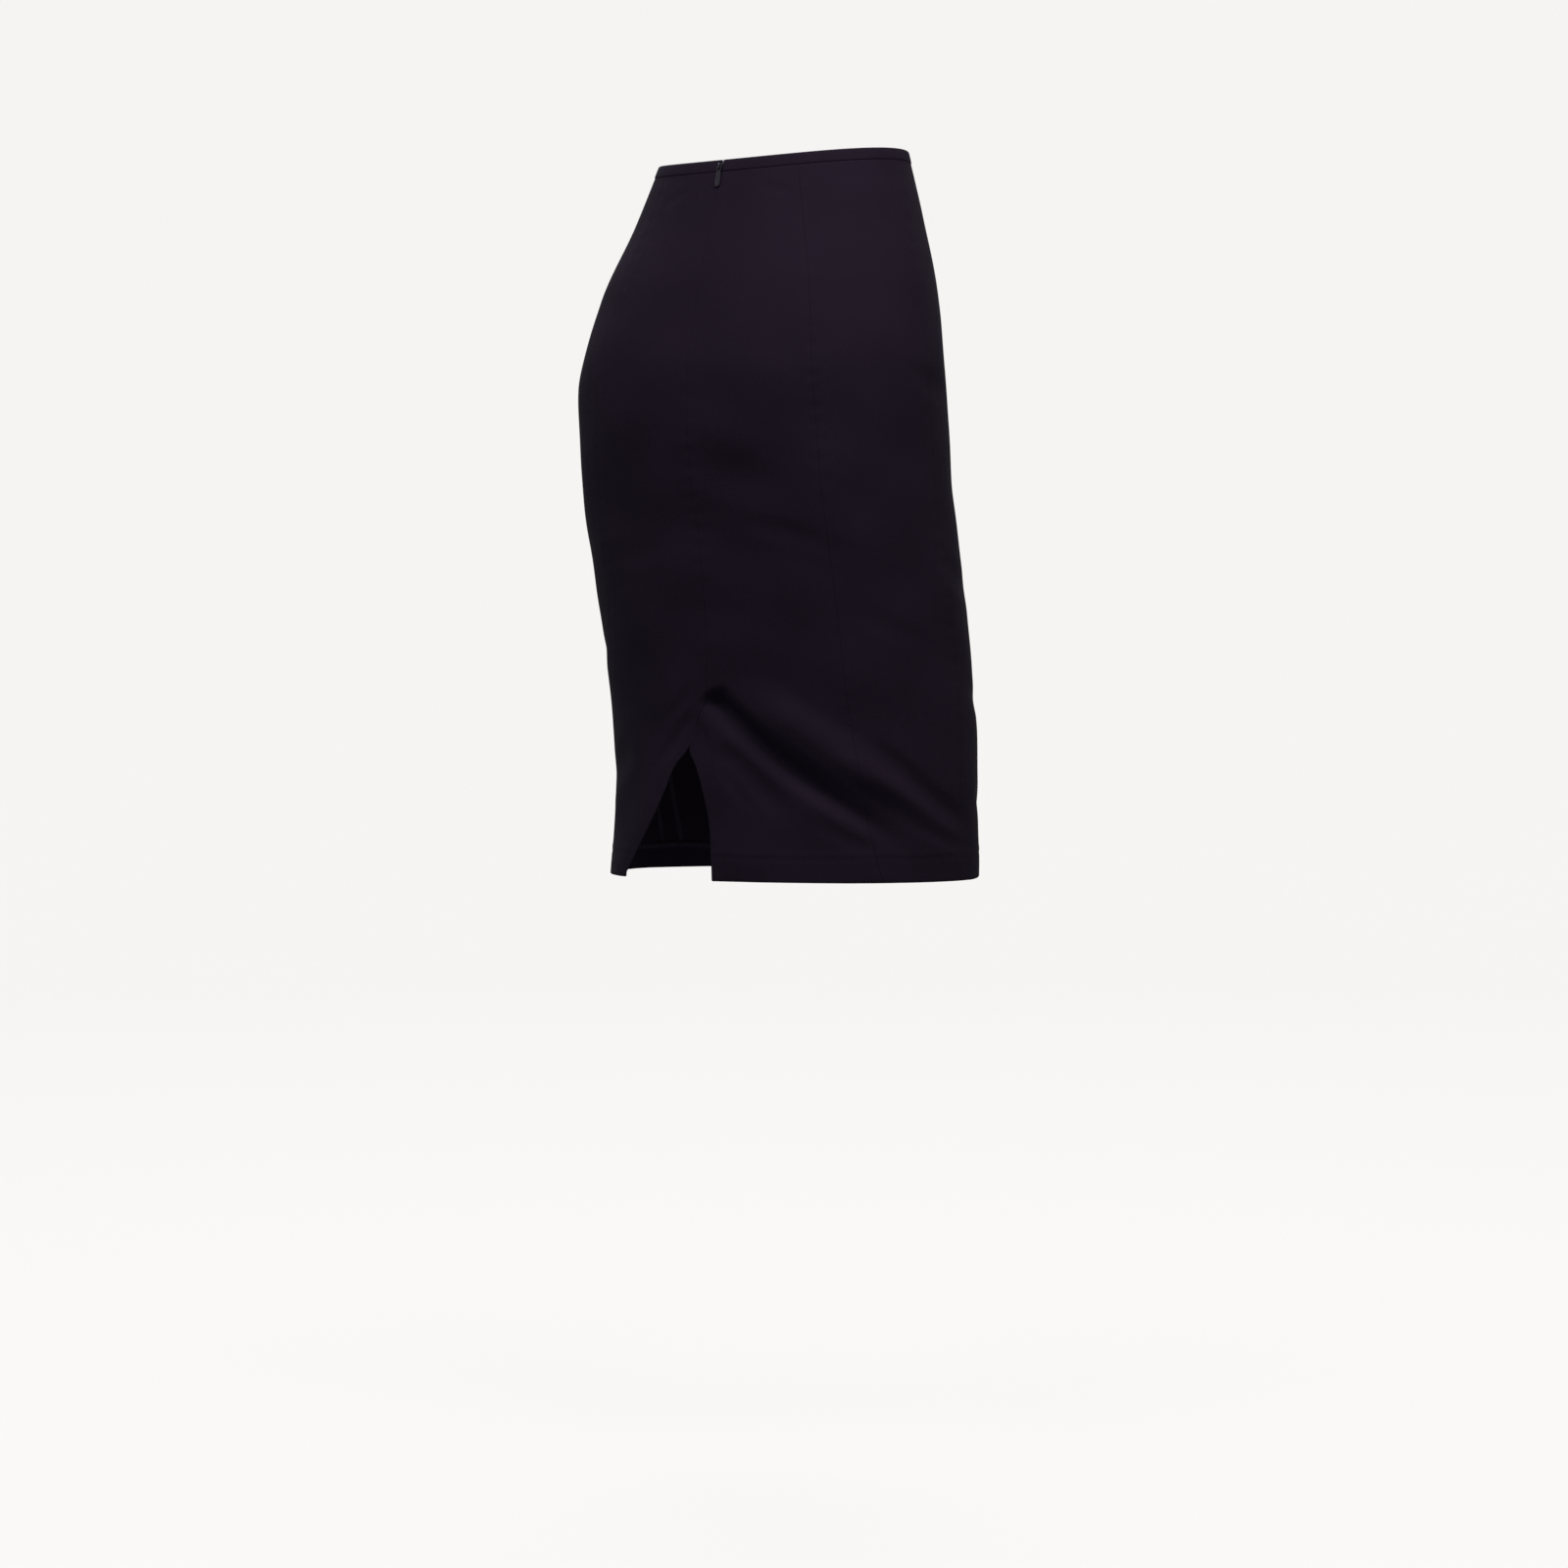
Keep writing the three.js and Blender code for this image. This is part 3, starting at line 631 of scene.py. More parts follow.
def band_profile():
    """(height below the waist edge, depth) from the inside layer's lower edge, over the top and
    down the outside to the allowance turned up inside. It runs from the inside round to the outside."""
    top = (BAND_INNER + BAND_STANDS) / 2
    centre = top - BAND_STANDS
    foot_centre = BAND_HEIGHT - BAND_FOOT
    arc = np.linspace(0, np.pi, 11)
    inner = [(h, BAND_INNER) for h in np.linspace(BAND_HEIGHT + 0.8, top, 6)[:-1]]
    crown = [(top - top * math.sin(a), centre + top * math.cos(a)) for a in arc]
    outer = [(h, -BAND_STANDS) for h in np.linspace(top, foot_centre, 6)[1:-1]]
    foot = [(foot_centre + BAND_FOOT * math.sin(a), -BAND_STANDS + BAND_FOOT - BAND_FOOT * math.cos(a))
            for a in np.linspace(0, np.pi, 7)]
    back_up = [(foot_centre - h, -BAND_STANDS + 2 * BAND_FOOT) for h in np.linspace(0, BAND_TURN_IN, 3)[1:]]
    return np.array(inner + crown + outer + foot + back_up)


def band_points():
    profile = band_profile()
    one_mm = float(degrees_for(1, np.array(0.0), np.array(0.0)))
    half_gap = PARTING_HALF * one_mm
    t = np.linspace(0, 1, BAND_COLUMNS + 1)
    crowded = t - 0.6 * np.sin(2 * np.pi * t) / (2 * np.pi)
    near_end = half_gap + np.array([0.1, 0.3, 0.6, 1.0, 1.5]) * one_mm
    turn = np.sort(np.concatenate([lerp(half_gap, 360 - half_gap, crowded), near_end, 360 - near_end]))
    shape = (len(profile), len(turn))
    height = np.broadcast_to(profile[:, 0][:, None], shape)
    depth = np.broadcast_to(profile[:, 1][:, None], shape)
    turn = np.broadcast_to(turn[None, :], shape)
    at_waist = np.zeros(shape)
    from_end = np.minimum(turn - half_gap, 360 - half_gap - turn) / degrees_for(1, at_waist, at_waist)
    closing = np.clip(from_end / BAND_END, 0, 1)
    full = BAND_END_THICK + (1 - BAND_END_THICK) * np.sqrt(np.clip(1 - (1 - closing) ** 2, 0, 1))
    middle = (BAND_INNER - BAND_STANDS) / 2
    depth = middle + (depth - middle) * full
    # the band isn't quite even: it swells a little between the places where it is stitched down
    swell = 0.12 * np.sin(height / BAND_HEIGHT * np.pi) + 0.05 * np.sin(np.radians(turn * 11))
    down = waist_edge(turn) + height
    return under(turn, down, depth - swell * (depth < 0))


def make_waistband():
    sewing = bpy.context.scene.skirt_sewing
    points = band_points()
    no_edge = np.full(points.shape[:2], FAR)
    piece = shaped_grid("waistband_crepe", points, {"raw_edge": no_edge, "above_hem": no_edge})
    bm = bmesh.new()
    bm.from_mesh(piece.data)
    bmesh.ops.reverse_faces(bm, faces=bm.faces)
    bm.to_mesh(piece.data)
    bm.free()
    give_thickness(piece, sewing.cloth_thickness)
    finish_piece(piece, "skirt", "cloth", crepe_material(), "waistband")
    return piece


# ---- zip ----

TAPE_THICK = 0.35
TAPE_WIDTH = 11.0
TAPE_ROWS, TAPE_COLUMNS = 96, 9
TAPE_IN_BAND = 2.7        # depth of the tape's face behind the band, and below it
TAPE_BELOW = 1.75
COIL_PITCH = 1.25
COIL_WIRE = 0.26
COIL_WIDE, COIL_DEEP = 0.72, 0.62
COIL_SIDES = 5
COIL_STEPS = 9            # steps in one turn of the coil
COIL_APART_IN_SLIDER = 1.95
COIL_APART_BELOW = 0.78


def zip_depth(below_edge):
    return lerp(TAPE_IN_BAND, TAPE_BELOW, ease(below_edge, 12, 22))


def on_zip(aside, below_edge, depth):
    """A point beside the centre back line: mm to the wearer's right, below the waist edge, and deep."""
    down = WAIST_DIP + below_edge
    turn = aside * degrees_for(1, np.zeros_like(down), down)
    return under(turn, down, depth)


def make_zip_tape(side, name):
    rows = np.linspace(ZIP_START, ZIP_LENGTH - WAIST_DIP, TAPE_ROWS)
    columns = np.linspace(0, 1, TAPE_COLUMNS)
    below, share = np.meshgrid(rows, columns, indexing="ij")
    share = share if side > 0 else 1 - share
    aside = side * (PARTING_HALF + TAPE_WIDTH * share)
    points = on_zip(aside, below, zip_depth(below) + 0.08 * np.sin(below / 9) * share)
    piece = shaped_grid(name + "_woven", points, {"selvedge": TAPE_WIDTH * (1 - share)})
    give_thickness(piece, TAPE_THICK * MM)
    finish_piece(piece, "skirt", "zip_tape", tape_material(), name)
    return piece


def make_zip_coil(side, name):
    """The coil on one tape: a wire wound round the tape's edge, parted inside the slider."""
    start, finish = ZIP_START + 1.2, ZIP_LENGTH - WAIST_DIP - 3
    turns = int((finish - start) / COIL_PITCH)
    bm = bmesh.new()
    ring = bmesh.ops.create_circle(bm, cap_ends=False, segments=COIL_SIDES, radius=COIL_WIRE)
    bmesh.ops.rotate(bm, verts=ring["verts"], cent=(0, 0, 0), matrix=Matrix.Rotation(math.pi / 2, 3, "X"))
    bmesh.ops.translate(bm, verts=ring["verts"], vec=(1, 0, 0))
    bmesh.ops.spin(
        bm, geom=bm.verts[:] + bm.edges[:], cent=(0, 0, 0), axis=(0, 0, side),
        dvec=(0, 0, COIL_PITCH / COIL_STEPS), angle=2 * math.pi * turns, steps=turns * COIL_STEPS,
        use_merge=False, use_duplicate=False,
    )
    bmesh.ops.holes_fill(bm, edges=bm.edges[:], sides=COIL_SIDES)
    bmesh.ops.recalc_face_normals(bm, faces=bm.faces[:])
    mesh = mesh_from(bm, name)
    wound = corners_of(mesh)
    below = start + wound[:, 2]
    radial = np.hypot(wound[:, 0], wound[:, 1])
    wire = radial - 1
    round_x, round_y = wound[:, 0] / radial, wound[:, 1] / radial
    in_slider = 1 - ease(below, ZIP_BELOW + SLIDER_HEIGHT / 2 - 1, ZIP_BELOW + SLIDER_HEIGHT / 2 + 7)
    apart = lerp(COIL_APART_BELOW, COIL_APART_IN_SLIDER, in_slider)
    aside = side * apart + round_x * (COIL_WIDE + wire)
    depth = zip_depth(below) + TAPE_THICK + COIL_WIRE + COIL_DEEP + round_y * (COIL_DEEP + wire)
    mesh.vertices.foreach_set("co", (on_zip(aside, below, depth) * MM).ravel())
    bm = bmesh.new()
    bm.from_mesh(mesh)
    bmesh.ops.recalc_face_normals(bm, faces=bm.faces[:])
    bm.to_mesh(mesh)
    bm.free()
    smooth(mesh)
    piece = new_object(name, mesh)
    return finish_piece(piece, "skirt", "zip_tape", coil_material())


def zip_axes():
    """From the slider's own axes (X across, Y out of the cloth, Z up the zip) to the skirt's."""
    turn, down = np.array(0.0), np.array(WAIST_DIP + ZIP_BELOW)
    place = skin(turn, down)
    normal = outwards(skin, turn, down)
    tilt = math.atan2(normal[2], normal[1])
    return Matrix.Translation(Vector(place) * MM) @ Matrix.Rotation(tilt, 4, "X")


def filled_outline(bm, loops, z):
    """A flat face with the first loop as its edge and the others as holes."""
    edges = []
    for loop in loops:
        ring = [bm.verts.new((x * MM, y * MM, z * MM)) for x, y in loop]
        edges += [bm.edges.new((ring[k - 1], ring[k])) for k in range(len(ring))]
    bmesh.ops.triangle_fill(bm, use_beauty=True, use_dissolve=False, edges=edges, normal=(0, 0, 1))


def slab(loops, low, high, bevel, segments=3):
    """A plate with rounded edges, drawn in its own XY plane and standing from low to high in Z."""
    bm = bmesh.new()
    filled_outline(bm, loops, low)
    faces = bm.faces[:]
    grown = bmesh.ops.extrude_face_region(bm, geom=faces)
    raised = [v for v in grown["geom"] if isinstance(v, bmesh.types.BMVert)]
    bmesh.ops.translate(bm, verts=raised, vec=(0, 0, (high - low) * MM))
    bmesh.ops.recalc_face_normals(bm, faces=bm.faces[:])
    sharp = [e for e in bm.edges if e.is_manifold and e.calc_face_angle() > math.radians(50)]
    bmesh.ops.bevel(
        bm, geom=sharp, offset=bevel * MM, offset_type="OFFSET", segments=segments, profile=0.5,
        affect="EDGES", clamp_overlap=True, material=-1,
    )
    return bm


def joined(parts, name, matrix):
    """One mesh from several, each with its own turn into the piece's axes."""
    whole = bmesh.new()
    for bm, turn in parts:
        bmesh.ops.transform(bm, matrix=turn, verts=bm.verts[:], space=Matrix.Identity(4))
        part = mesh_from(bm, name + "_part")
        whole.from_mesh(part)
        bpy.data.meshes.remove(part)
    bmesh.ops.transform(whole, matrix=matrix, verts=whole.verts[:], space=Matrix.Identity(4))
    bmesh.ops.recalc_face_normals(whole, faces=whole.faces[:])
    mesh = mesh_from(whole, name)
    smooth(mesh)
    mesh.set_sharp_from_angle(angle=math.radians(40))
    piece = new_object(name, mesh)
    even = piece.modifiers.new("Even shading", "WEIGHTED_NORMAL")
    even.keep_sharp = True
    return piece


def mirrored(half):
    """A closed outline from its right half, listed from the bottom up."""
    return half + [(-x, y) for x, y in reversed(half)]


def make_zip_slider():
    # the section across the zip: a back plate with a lipped channel for each coil, a neck and a crown
    lip, floor = BODY_FACE - 0.45, BODY_BACK + 0.6
    half = [
        (4, BODY_BACK), (4, BODY_FACE), (2.9, BODY_FACE), (2.9, lip), (3.45, lip), (3.45, floor),
        (0.5, floor), (0.5, CROWN_INSIDE),
    ]
    height = SLIDER_HEIGHT / 2
    body = slab([mirrored(half)], -height, height, 0.14, 2)
    # the crown: a plate with round ends, seen from outside
    round_end = CROWN_WIDTH / 2
    ends = [(round_end * math.cos(a), height - round_end + round_end * math.sin(a))
            for a in np.linspace(0, np.pi, 13)]
    crown = slab([ends + [(-x, -y) for x, y in ends]], CROWN_INSIDE, CROWN_FACE, 0.22)
    # the bail: a flat staple standing on the crown
    outer, inner, reach, clear = 2.5, 1.6, CROWN_FACE + 2.8, CROWN_FACE + 1.9
    root, chamfer = CROWN_FACE - 0.45, 0.54
    staple = [
        (-outer, root), (-inner, root), (-inner, clear), (inner, clear), (inner, root), (outer, root),
        (outer, reach - chamfer), (outer - chamfer, reach), (chamfer - outer, reach),
        (-outer, reach - chamfer),
    ]
    bail = slab([staple], -0.6, 0.6, 0.18)
    parts = [(body, Matrix.Identity(4)), (crown, FACING_OUT), (bail, ALONG_ZIP)]
    piece = joined(parts, "zip_slider_lacquered", zip_axes())
    return finish_piece(piece, "skirt", "zip_metal", lacquer_material(), "zip_slider")


def tab_outline(width, head, head_drop, waist, length, top):
    """The pull's edge: a straight head, a taper and a round foot."""
    foot = width / 2
    arc = [(-foot * math.cos(a), -length + foot - foot * math.sin(a)) for a in np.linspace(0, np.pi, 17)]
    down_left = [(-head, top), (-head, -head_drop), (-foot, -waist)]
    up_right = [(foot, -waist), (head, -head_drop), (head, top)]
    return down_left + arc[1:-1] + up_right


def make_zip_pull():
    thick = 0.5
    tab = tab_outline(width=5.4, head=2.2, head_drop=4.4, waist=10.5, length=18.5, top=thick)
    eye = [(1.3, -0.5), (1.3, -3.1), (1.0, -3.4), (-1.0, -3.4), (-1.3, -3.1), (-1.3, -0.5)]
    plate = slab([tab, eye], -thick, thick, 0.2)
    # a shallow raised field on each face, set in from the edge
    field = tab_outline(width=3.5, head=1.05, head_drop=6.2, waist=10.5, length=17.4, top=-5.4)
    front = slab([field], thick - 0.1, thick + 0.14, 0.1, 2)
    back = slab([field], -thick - 0.14, -thick + 0.1, 0.1, 2)
    pivot = Matrix.Translation((0, PIVOT_OUT * MM, 0))
    lean = Matrix.Rotation(-math.radians(PULL_LEAN), 4, "X")
    parts = [(plate, FACING_OUT), (front, FACING_OUT), (back, FACING_OUT)]
    piece = joined(parts, "zip_pull_lacquered", zip_axes() @ pivot @ lean)
    return finish_piece(piece, "pull", "zip_metal", lacquer_material(), "zip_pull")


# ---- materials ----

def node(tree, kind, **inputs):
    made = tree.nodes.new(kind)
    for name, value in inputs.items():
        made.inputs[name.replace("_", " ")].default_value = value
    return made


def fresh_material(name):
    """A material with its node tree and shader, both None where it is made already."""
    known = bpy.data.materials.get(name)
    if known:
        return known, None, None
    material = bpy.data.materials.new(name)
    material.use_nodes = True
    tree = material.node_tree
    shader = next(n for n in tree.nodes if n.type == "BSDF_PRINCIPLED")
    return material, tree, shader


def coordinates(tree, source, scale):
    place = node(tree, "ShaderNodeTexCoord")
    mapping = node(tree, "ShaderNodeMapping", Scale=scale)
    tree.links.new(place.outputs[source], mapping.inputs["Vector"])
    return mapping.outputs["Vector"]


def noise(tree, where, scale, detail=2.0, roughness=0.5):
    made = node(tree, "ShaderNodeTexNoise", Scale=scale, Detail=detail, Roughness=roughness)
    tree.links.new(where, made.inputs["Vector"])
    return made.outputs["Fac"]


def threads(tree, where, spacing, direction, distortion=0.6):
    """Threads that lie `spacing` mm apart. A wave texture counts 20 radians to a unit of length."""
    scale = 2 * math.pi / (20 * spacing * MM)
    made = node(tree, "ShaderNodeTexWave", Scale=scale, Distortion=distortion, Detail=1.0)
    made.wave_type = "BANDS"
    made.bands_direction = direction
    tree.links.new(where, made.inputs["Vector"])
    return made.outputs["Fac"]


def arithmetic(tree, operation, first, second):
    made = tree.nodes.new("ShaderNodeMath")
    made.operation = operation
    for socket, value in zip(made.inputs, (first, second)):
        if isinstance(value, (int, float)):
            socket.default_value = value
        else:
            tree.links.new(value, socket)
    return made.outputs[0]


def between(tree, value, from_low, from_high, to_low, to_high, smooth_step=False):
    made = node(tree, "ShaderNodeMapRange")
    if smooth_step:
        made.interpolation_type = "SMOOTHSTEP"
    made.inputs["From Min"].default_value = from_low
    made.inputs["From Max"].default_value = from_high
    made.inputs["To Min"].default_value = to_low
    made.inputs["To Max"].default_value = to_high
    tree.links.new(value, made.inputs["Value"])
    return made.outputs["Result"]


def attribute(tree, name):
    made = tree.nodes.new("ShaderNodeAttribute")
    made.attribute_name = name
    return made.outputs["Fac"]


def mix_colours(tree, share, first, second):
    made = tree.nodes.new("ShaderNodeMix")
    made.data_type = "RGBA"
    tree.links.new(share, made.inputs["Factor"])
    for socket, value in ((made.inputs[6], first), (made.inputs[7], second)):
        if isinstance(value, bpy.types.NodeSocket):
            tree.links.new(value, socket)
        else:
            socket.default_value = (*value, 1)
    return made.outputs[2]


def bump(tree, height, distance, strength, below=None):
    made = node(tree, "ShaderNodeBump", Distance=distance, Strength=strength)
    tree.links.new(height, made.inputs["Height"])
    if below is not None:
        tree.links.new(below, made.inputs["Normal"])
    return made.outputs["Normal"]


def darker(colour, share):
    return tuple(c * share for c in colour)


WARP_SPACING, WEFT_SPACING = 0.132, 0.157
OVERLOCK_SPACING = 0.748
HEM_STITCH_SPACING = 13.66
TAPE_RIB_SPACING = 0.349


def crepe_material():
    """Smooth matt stretch crepe: a pebbled face over a fine weave, with overlocked raw edges."""
    material, tree, shader = fresh_material("dark_crepe")
    if tree is None:
        return material
    finish = bpy.context.scene.skirt_finish
    colour = tuple(finish.cloth_colour)
    place = coordinates(tree, "Object", (1, 1, 1))
    cloth = coordinates(tree, "UV", (1, 1, 1))

    # colour: broad, faint changes of tone, and a finer fleck where the yarn catches the light
    broad = noise(tree, place, 11, 3, 0.6)
    fleck = noise(tree, place, 1400, 2, 0.6)
    tone = mix_colours(tree, between(tree, broad, 0.3, 0.7, 0, 1), darker(colour, 0.88), darker(colour, 1.12))
    tone = mix_colours(tree, between(tree, fleck, 0.35, 0.75, 0, 0.5), tone, darker(colour, 1.55))
    raw = between(tree, attribute(tree, "raw_edge"), 4.2 * MM, 5 * MM, 1, 0, True)
    tone = mix_colours(tree, raw, tone, tuple(finish.thread_colour))
    tree.links.new(tone, shader.inputs["Base Color"])
    matt = between(tree, fleck, 0.3, 0.7, finish.cloth_roughness - 0.05, finish.cloth_roughness + 0.05)
    tree.links.new(matt, shader.inputs["Roughness"])
    shader.inputs["Specular IOR Level"].default_value = finish.cloth_gloss
    shader.inputs["Sheen Weight"].default_value = finish.cloth_sheen
    shader.inputs["Sheen Roughness"].default_value = 0.45
    shader.inputs["Sheen Tint"].default_value = (0.62, 0.52, 0.72, 1)

    # relief: yarns, the crepe's pebble, overlock threads and the hem's blind stitches
    along = threads(tree, cloth, WARP_SPACING, "X")
    across = threads(tree, cloth, WEFT_SPACING, "Y")
    weave = arithmetic(tree, "MULTIPLY", along, across)
    normal = bump(tree, weave, 0.06 * MM, finish.weave_relief)
    pebble = noise(tree, place, 900, 3, 0.7)
    normal = bump(tree, pebble, 0.16 * MM, finish.pebble_relief, normal)
    overlock = arithmetic(tree, "MULTIPLY", threads(tree, cloth, OVERLOCK_SPACING, "DIAGONAL", 0.2), raw)
    normal = bump(tree, overlock, 0.4 * MM, 0.8, normal)
    stitch_line = attribute(tree, "above_hem")
    hem_depth = bpy.context.scene.skirt_sewing.hem_depth
    from_line = arithmetic(tree, "ABSOLUTE", arithmetic(tree, "SUBTRACT", stitch_line, hem_depth), 0)
    near_line = between(tree, from_line, 0.4 * MM, 1.2 * MM, 1, 0, True)
    stitches = arithmetic(tree, "MULTIPLY", threads(tree, cloth, HEM_STITCH_SPACING, "X", 0), near_line)
    stitches = between(tree, stitches, 0.8, 1, 0, -1, True)
    normal = bump(tree, stitches, 0.5 * MM, 0.6, normal)
    tree.links.new(normal, shader.inputs["Normal"])
    return material


def tape_material():
    """Woven zip tape: a fine herringbone rib, its tops coloured lighter and its grooves darker as painted
    highlight and painted shade, and a firmer selvedge.
    """
    material, tree, shader = fresh_material("zip_tape_weave")
    if tree is None:
        return material
    finish = bpy.context.scene.skirt_finish
    colour = tuple(finish.tape_colour)
    cloth = coordinates(tree, "UV", (1, 1, 1))
    rib_height_and_shade = threads(tree, cloth, TAPE_RIB_SPACING, "DIAGONAL", 0.1)
    selvedge = between(tree, attribute(tree, "selvedge"), 0.8 * MM, 1.4 * MM, 1, 0, True)
    # painted highlight and painted shade: a lighter copy of the tape colour on the rib tops and a darker one
    # in the grooves between them
    tone = mix_colours(tree, rib_height_and_shade, darker(colour, 0.75), darker(colour, 1.3))
    tone = mix_colours(tree, selvedge, tone, darker(colour, 1.2))
    tree.links.new(tone, shader.inputs["Base Color"])
    tree.links.new(between(tree, rib_height_and_shade, 0, 1, 0.75, 0.9), shader.inputs["Roughness"])
    shader.inputs["Specular IOR Level"].default_value = 0.25
    shader.inputs["Sheen Weight"].default_value = 0.08
    tree.links.new(bump(tree, rib_height_and_shade, 0.12 * MM, 0.7), shader.inputs["Normal"])
    return material


def coil_material():
    """The zip's wound nylon wire."""
    material, tree, shader = fresh_material("zip_coil_nylon")
    if tree is None:
        return material
    colour = tuple(bpy.context.scene.skirt_finish.tape_colour)
    place = coordinates(tree, "Object", (1, 1, 1))
    cloudy = noise(tree, place, 700, 2)
    tone = mix_colours(tree, cloudy, darker(colour, 0.9), darker(colour, 1.4))
    tree.links.new(tone, shader.inputs["Base Color"])
    tree.links.new(between(tree, cloudy, 0.3, 0.7, 0.32, 0.46), shader.inputs["Roughness"])
    shader.inputs["Specular IOR Level"].default_value = 0.4
    return material


def lacquer_material():
    """Enamelled zinc: a satin lacquer with a faint orange peel, a little rubbed."""
    material, tree, shader = fresh_material("zip_lacquer")
    if tree is None:
        return material
    colour = tuple(bpy.context.scene.skirt_finish.metal_colour)
    place = coordinates(tree, "Object", (1, 1, 1))
    rubbed = noise(tree, place, 420, 4, 0.65)
    tone = mix_colours(tree, between(tree, rubbed, 0.52, 0.72, 0, 1), colour, darker(colour, 2.4))
    tree.links.new(tone, shader.inputs["Base Color"])
    shader.inputs["Metallic"].default_value = 0.25
    shader.inputs["Specular IOR Level"].default_value = 0.14
    tree.links.new(between(tree, rubbed, 0.3, 0.7, 0.36, 0.5), shader.inputs["Roughness"])
    shader.inputs["Coat Weight"].default_value = 0.05
    shader.inputs["Coat Roughness"].default_value = 0.3
    peel = noise(tree, place, 2200, 1)
    tree.links.new(bump(tree, peel, 0.03 * MM, 0.5), shader.inputs["Normal"])
    return material


PAPER_REFLECTS = 0.02     # the share of its light that the paper takes from the lamps


def paper_material(colour, glow):
    """The studio's pale paper, lit evenly enough to show no edge."""
    material, tree, shader = fresh_material("studio_paper")
    if tree is None:
        return material
    place = coordinates(tree, "Object", (1, 1, 1))
    cloudy = noise(tree, place, 3, 2)
    tone = mix_colours(tree, cloudy, darker(colour, 0.995), colour)
    tree.links.new(tone, shader.inputs["Emission Color"])
    tone = mix_colours(tree, cloudy, darker(colour, PAPER_REFLECTS), darker(colour, 0.95 * PAPER_REFLECTS))
    tree.links.new(tone, shader.inputs["Base Color"])
    shader.inputs["Emission Strength"].default_value = glow
    material.cycles.emission_sampling = "NONE"
    shader.inputs["Roughness"].default_value = 1.0
    shader.inputs["Specular IOR Level"].default_value = 0.0
    return material


# ---- settings ----

class SkirtSewing(bpy.types.PropertyGroup):
    """How the cloth is cut, turned and pressed."""

    cloth_thickness: FloatProperty(
        name="Cloth thickness", description="Thickness of one layer of crepe",
        default=0.0004, min=0.0002, max=0.0006, unit="LENGTH",
    )
    edge_turn: FloatProperty(
        name="Edge turn", description="Radius of a pressed edge",
        default=0.00045, min=0.0004, max=0.001, unit="LENGTH",
    )
    seam_allowance: FloatProperty(
        name="Seam allowance", description="Cloth turned in at each seam",
        default=0.012, min=0.004, max=0.02, unit="LENGTH",
    )
    slit_facing: FloatProperty(
        name="Slit facing", description="Cloth turned in along each edge of the slit",
        default=0.025, min=0.01, max=0.04, unit="LENGTH",
    )
    hem_depth: FloatProperty(
        name="Hem depth", description="Cloth turned up inside at the hem",
        default=0.0225, min=0.01, max=0.04, unit="LENGTH",
    )
    show_through: FloatProperty(
        name="Show-through", description="How far the pressed allowances lift the face",
        default=0.00016, min=0, max=0.001, unit="LENGTH",
    )
    back_step: FloatProperty(
        name="Back mesh step", description="Spacing of the back panels' mesh",
        default=0.0022, min=0.001, max=0.01, unit="LENGTH",
    )
    front_step: FloatProperty(
        name="Front mesh step", description="Spacing of the front's mesh",
        default=0.0026, min=0.001, max=0.01, unit="LENGTH",
    )


class SkirtFinish(bpy.types.PropertyGroup):
    """Colours and surfaces."""

    cloth_colour: FloatVectorProperty(
        name="Crepe", description="Colour of the crepe", subtype="COLOR", size=3,
        default=(0.0046, 0.003, 0.006), min=0, max=1,
    )
    cloth_roughness: FloatProperty(
        name="Crepe roughness", description="How matt the crepe is", default=0.74, min=0.05, max=1,
        subtype="FACTOR",
    )
    cloth_gloss: FloatProperty(
        name="Crepe gloss", description="Strength of the crepe's highlight", default=0.012, min=0, max=1,
        subtype="FACTOR",
    )
    cloth_sheen: FloatProperty(
        name="Crepe sheen", description="Soft bloom at glancing angles", default=0.0018, min=0, max=1,
        subtype="FACTOR",
    )
    weave_relief: FloatProperty(
        name="Weave relief", description="Strength of the yarns' relief", default=0.5, min=0, max=1,
        subtype="FACTOR",
    )
    pebble_relief: FloatProperty(
        name="Pebble relief", description="Strength of the crepe's pebble", default=0.55, min=0, max=1,
        subtype="FACTOR",
    )
    thread_colour: FloatVectorProperty(
        name="Overlock thread", description="Colour of the thread on the raw edges", subtype="COLOR",
        size=3, default=(0.010, 0.008, 0.013), min=0, max=1,
    )
    tape_colour: FloatVectorProperty(
        name="Zip tape", description="Colour of the zip's tapes and coil", subtype="COLOR", size=3,
        default=(0.009, 0.007, 0.012), min=0, max=1,
    )
    metal_colour: FloatVectorProperty(
        name="Zip lacquer", description="Colour of the slider and pull", subtype="COLOR", size=3,
        default=(0.0062, 0.0052, 0.0082), min=0, max=1,
    )


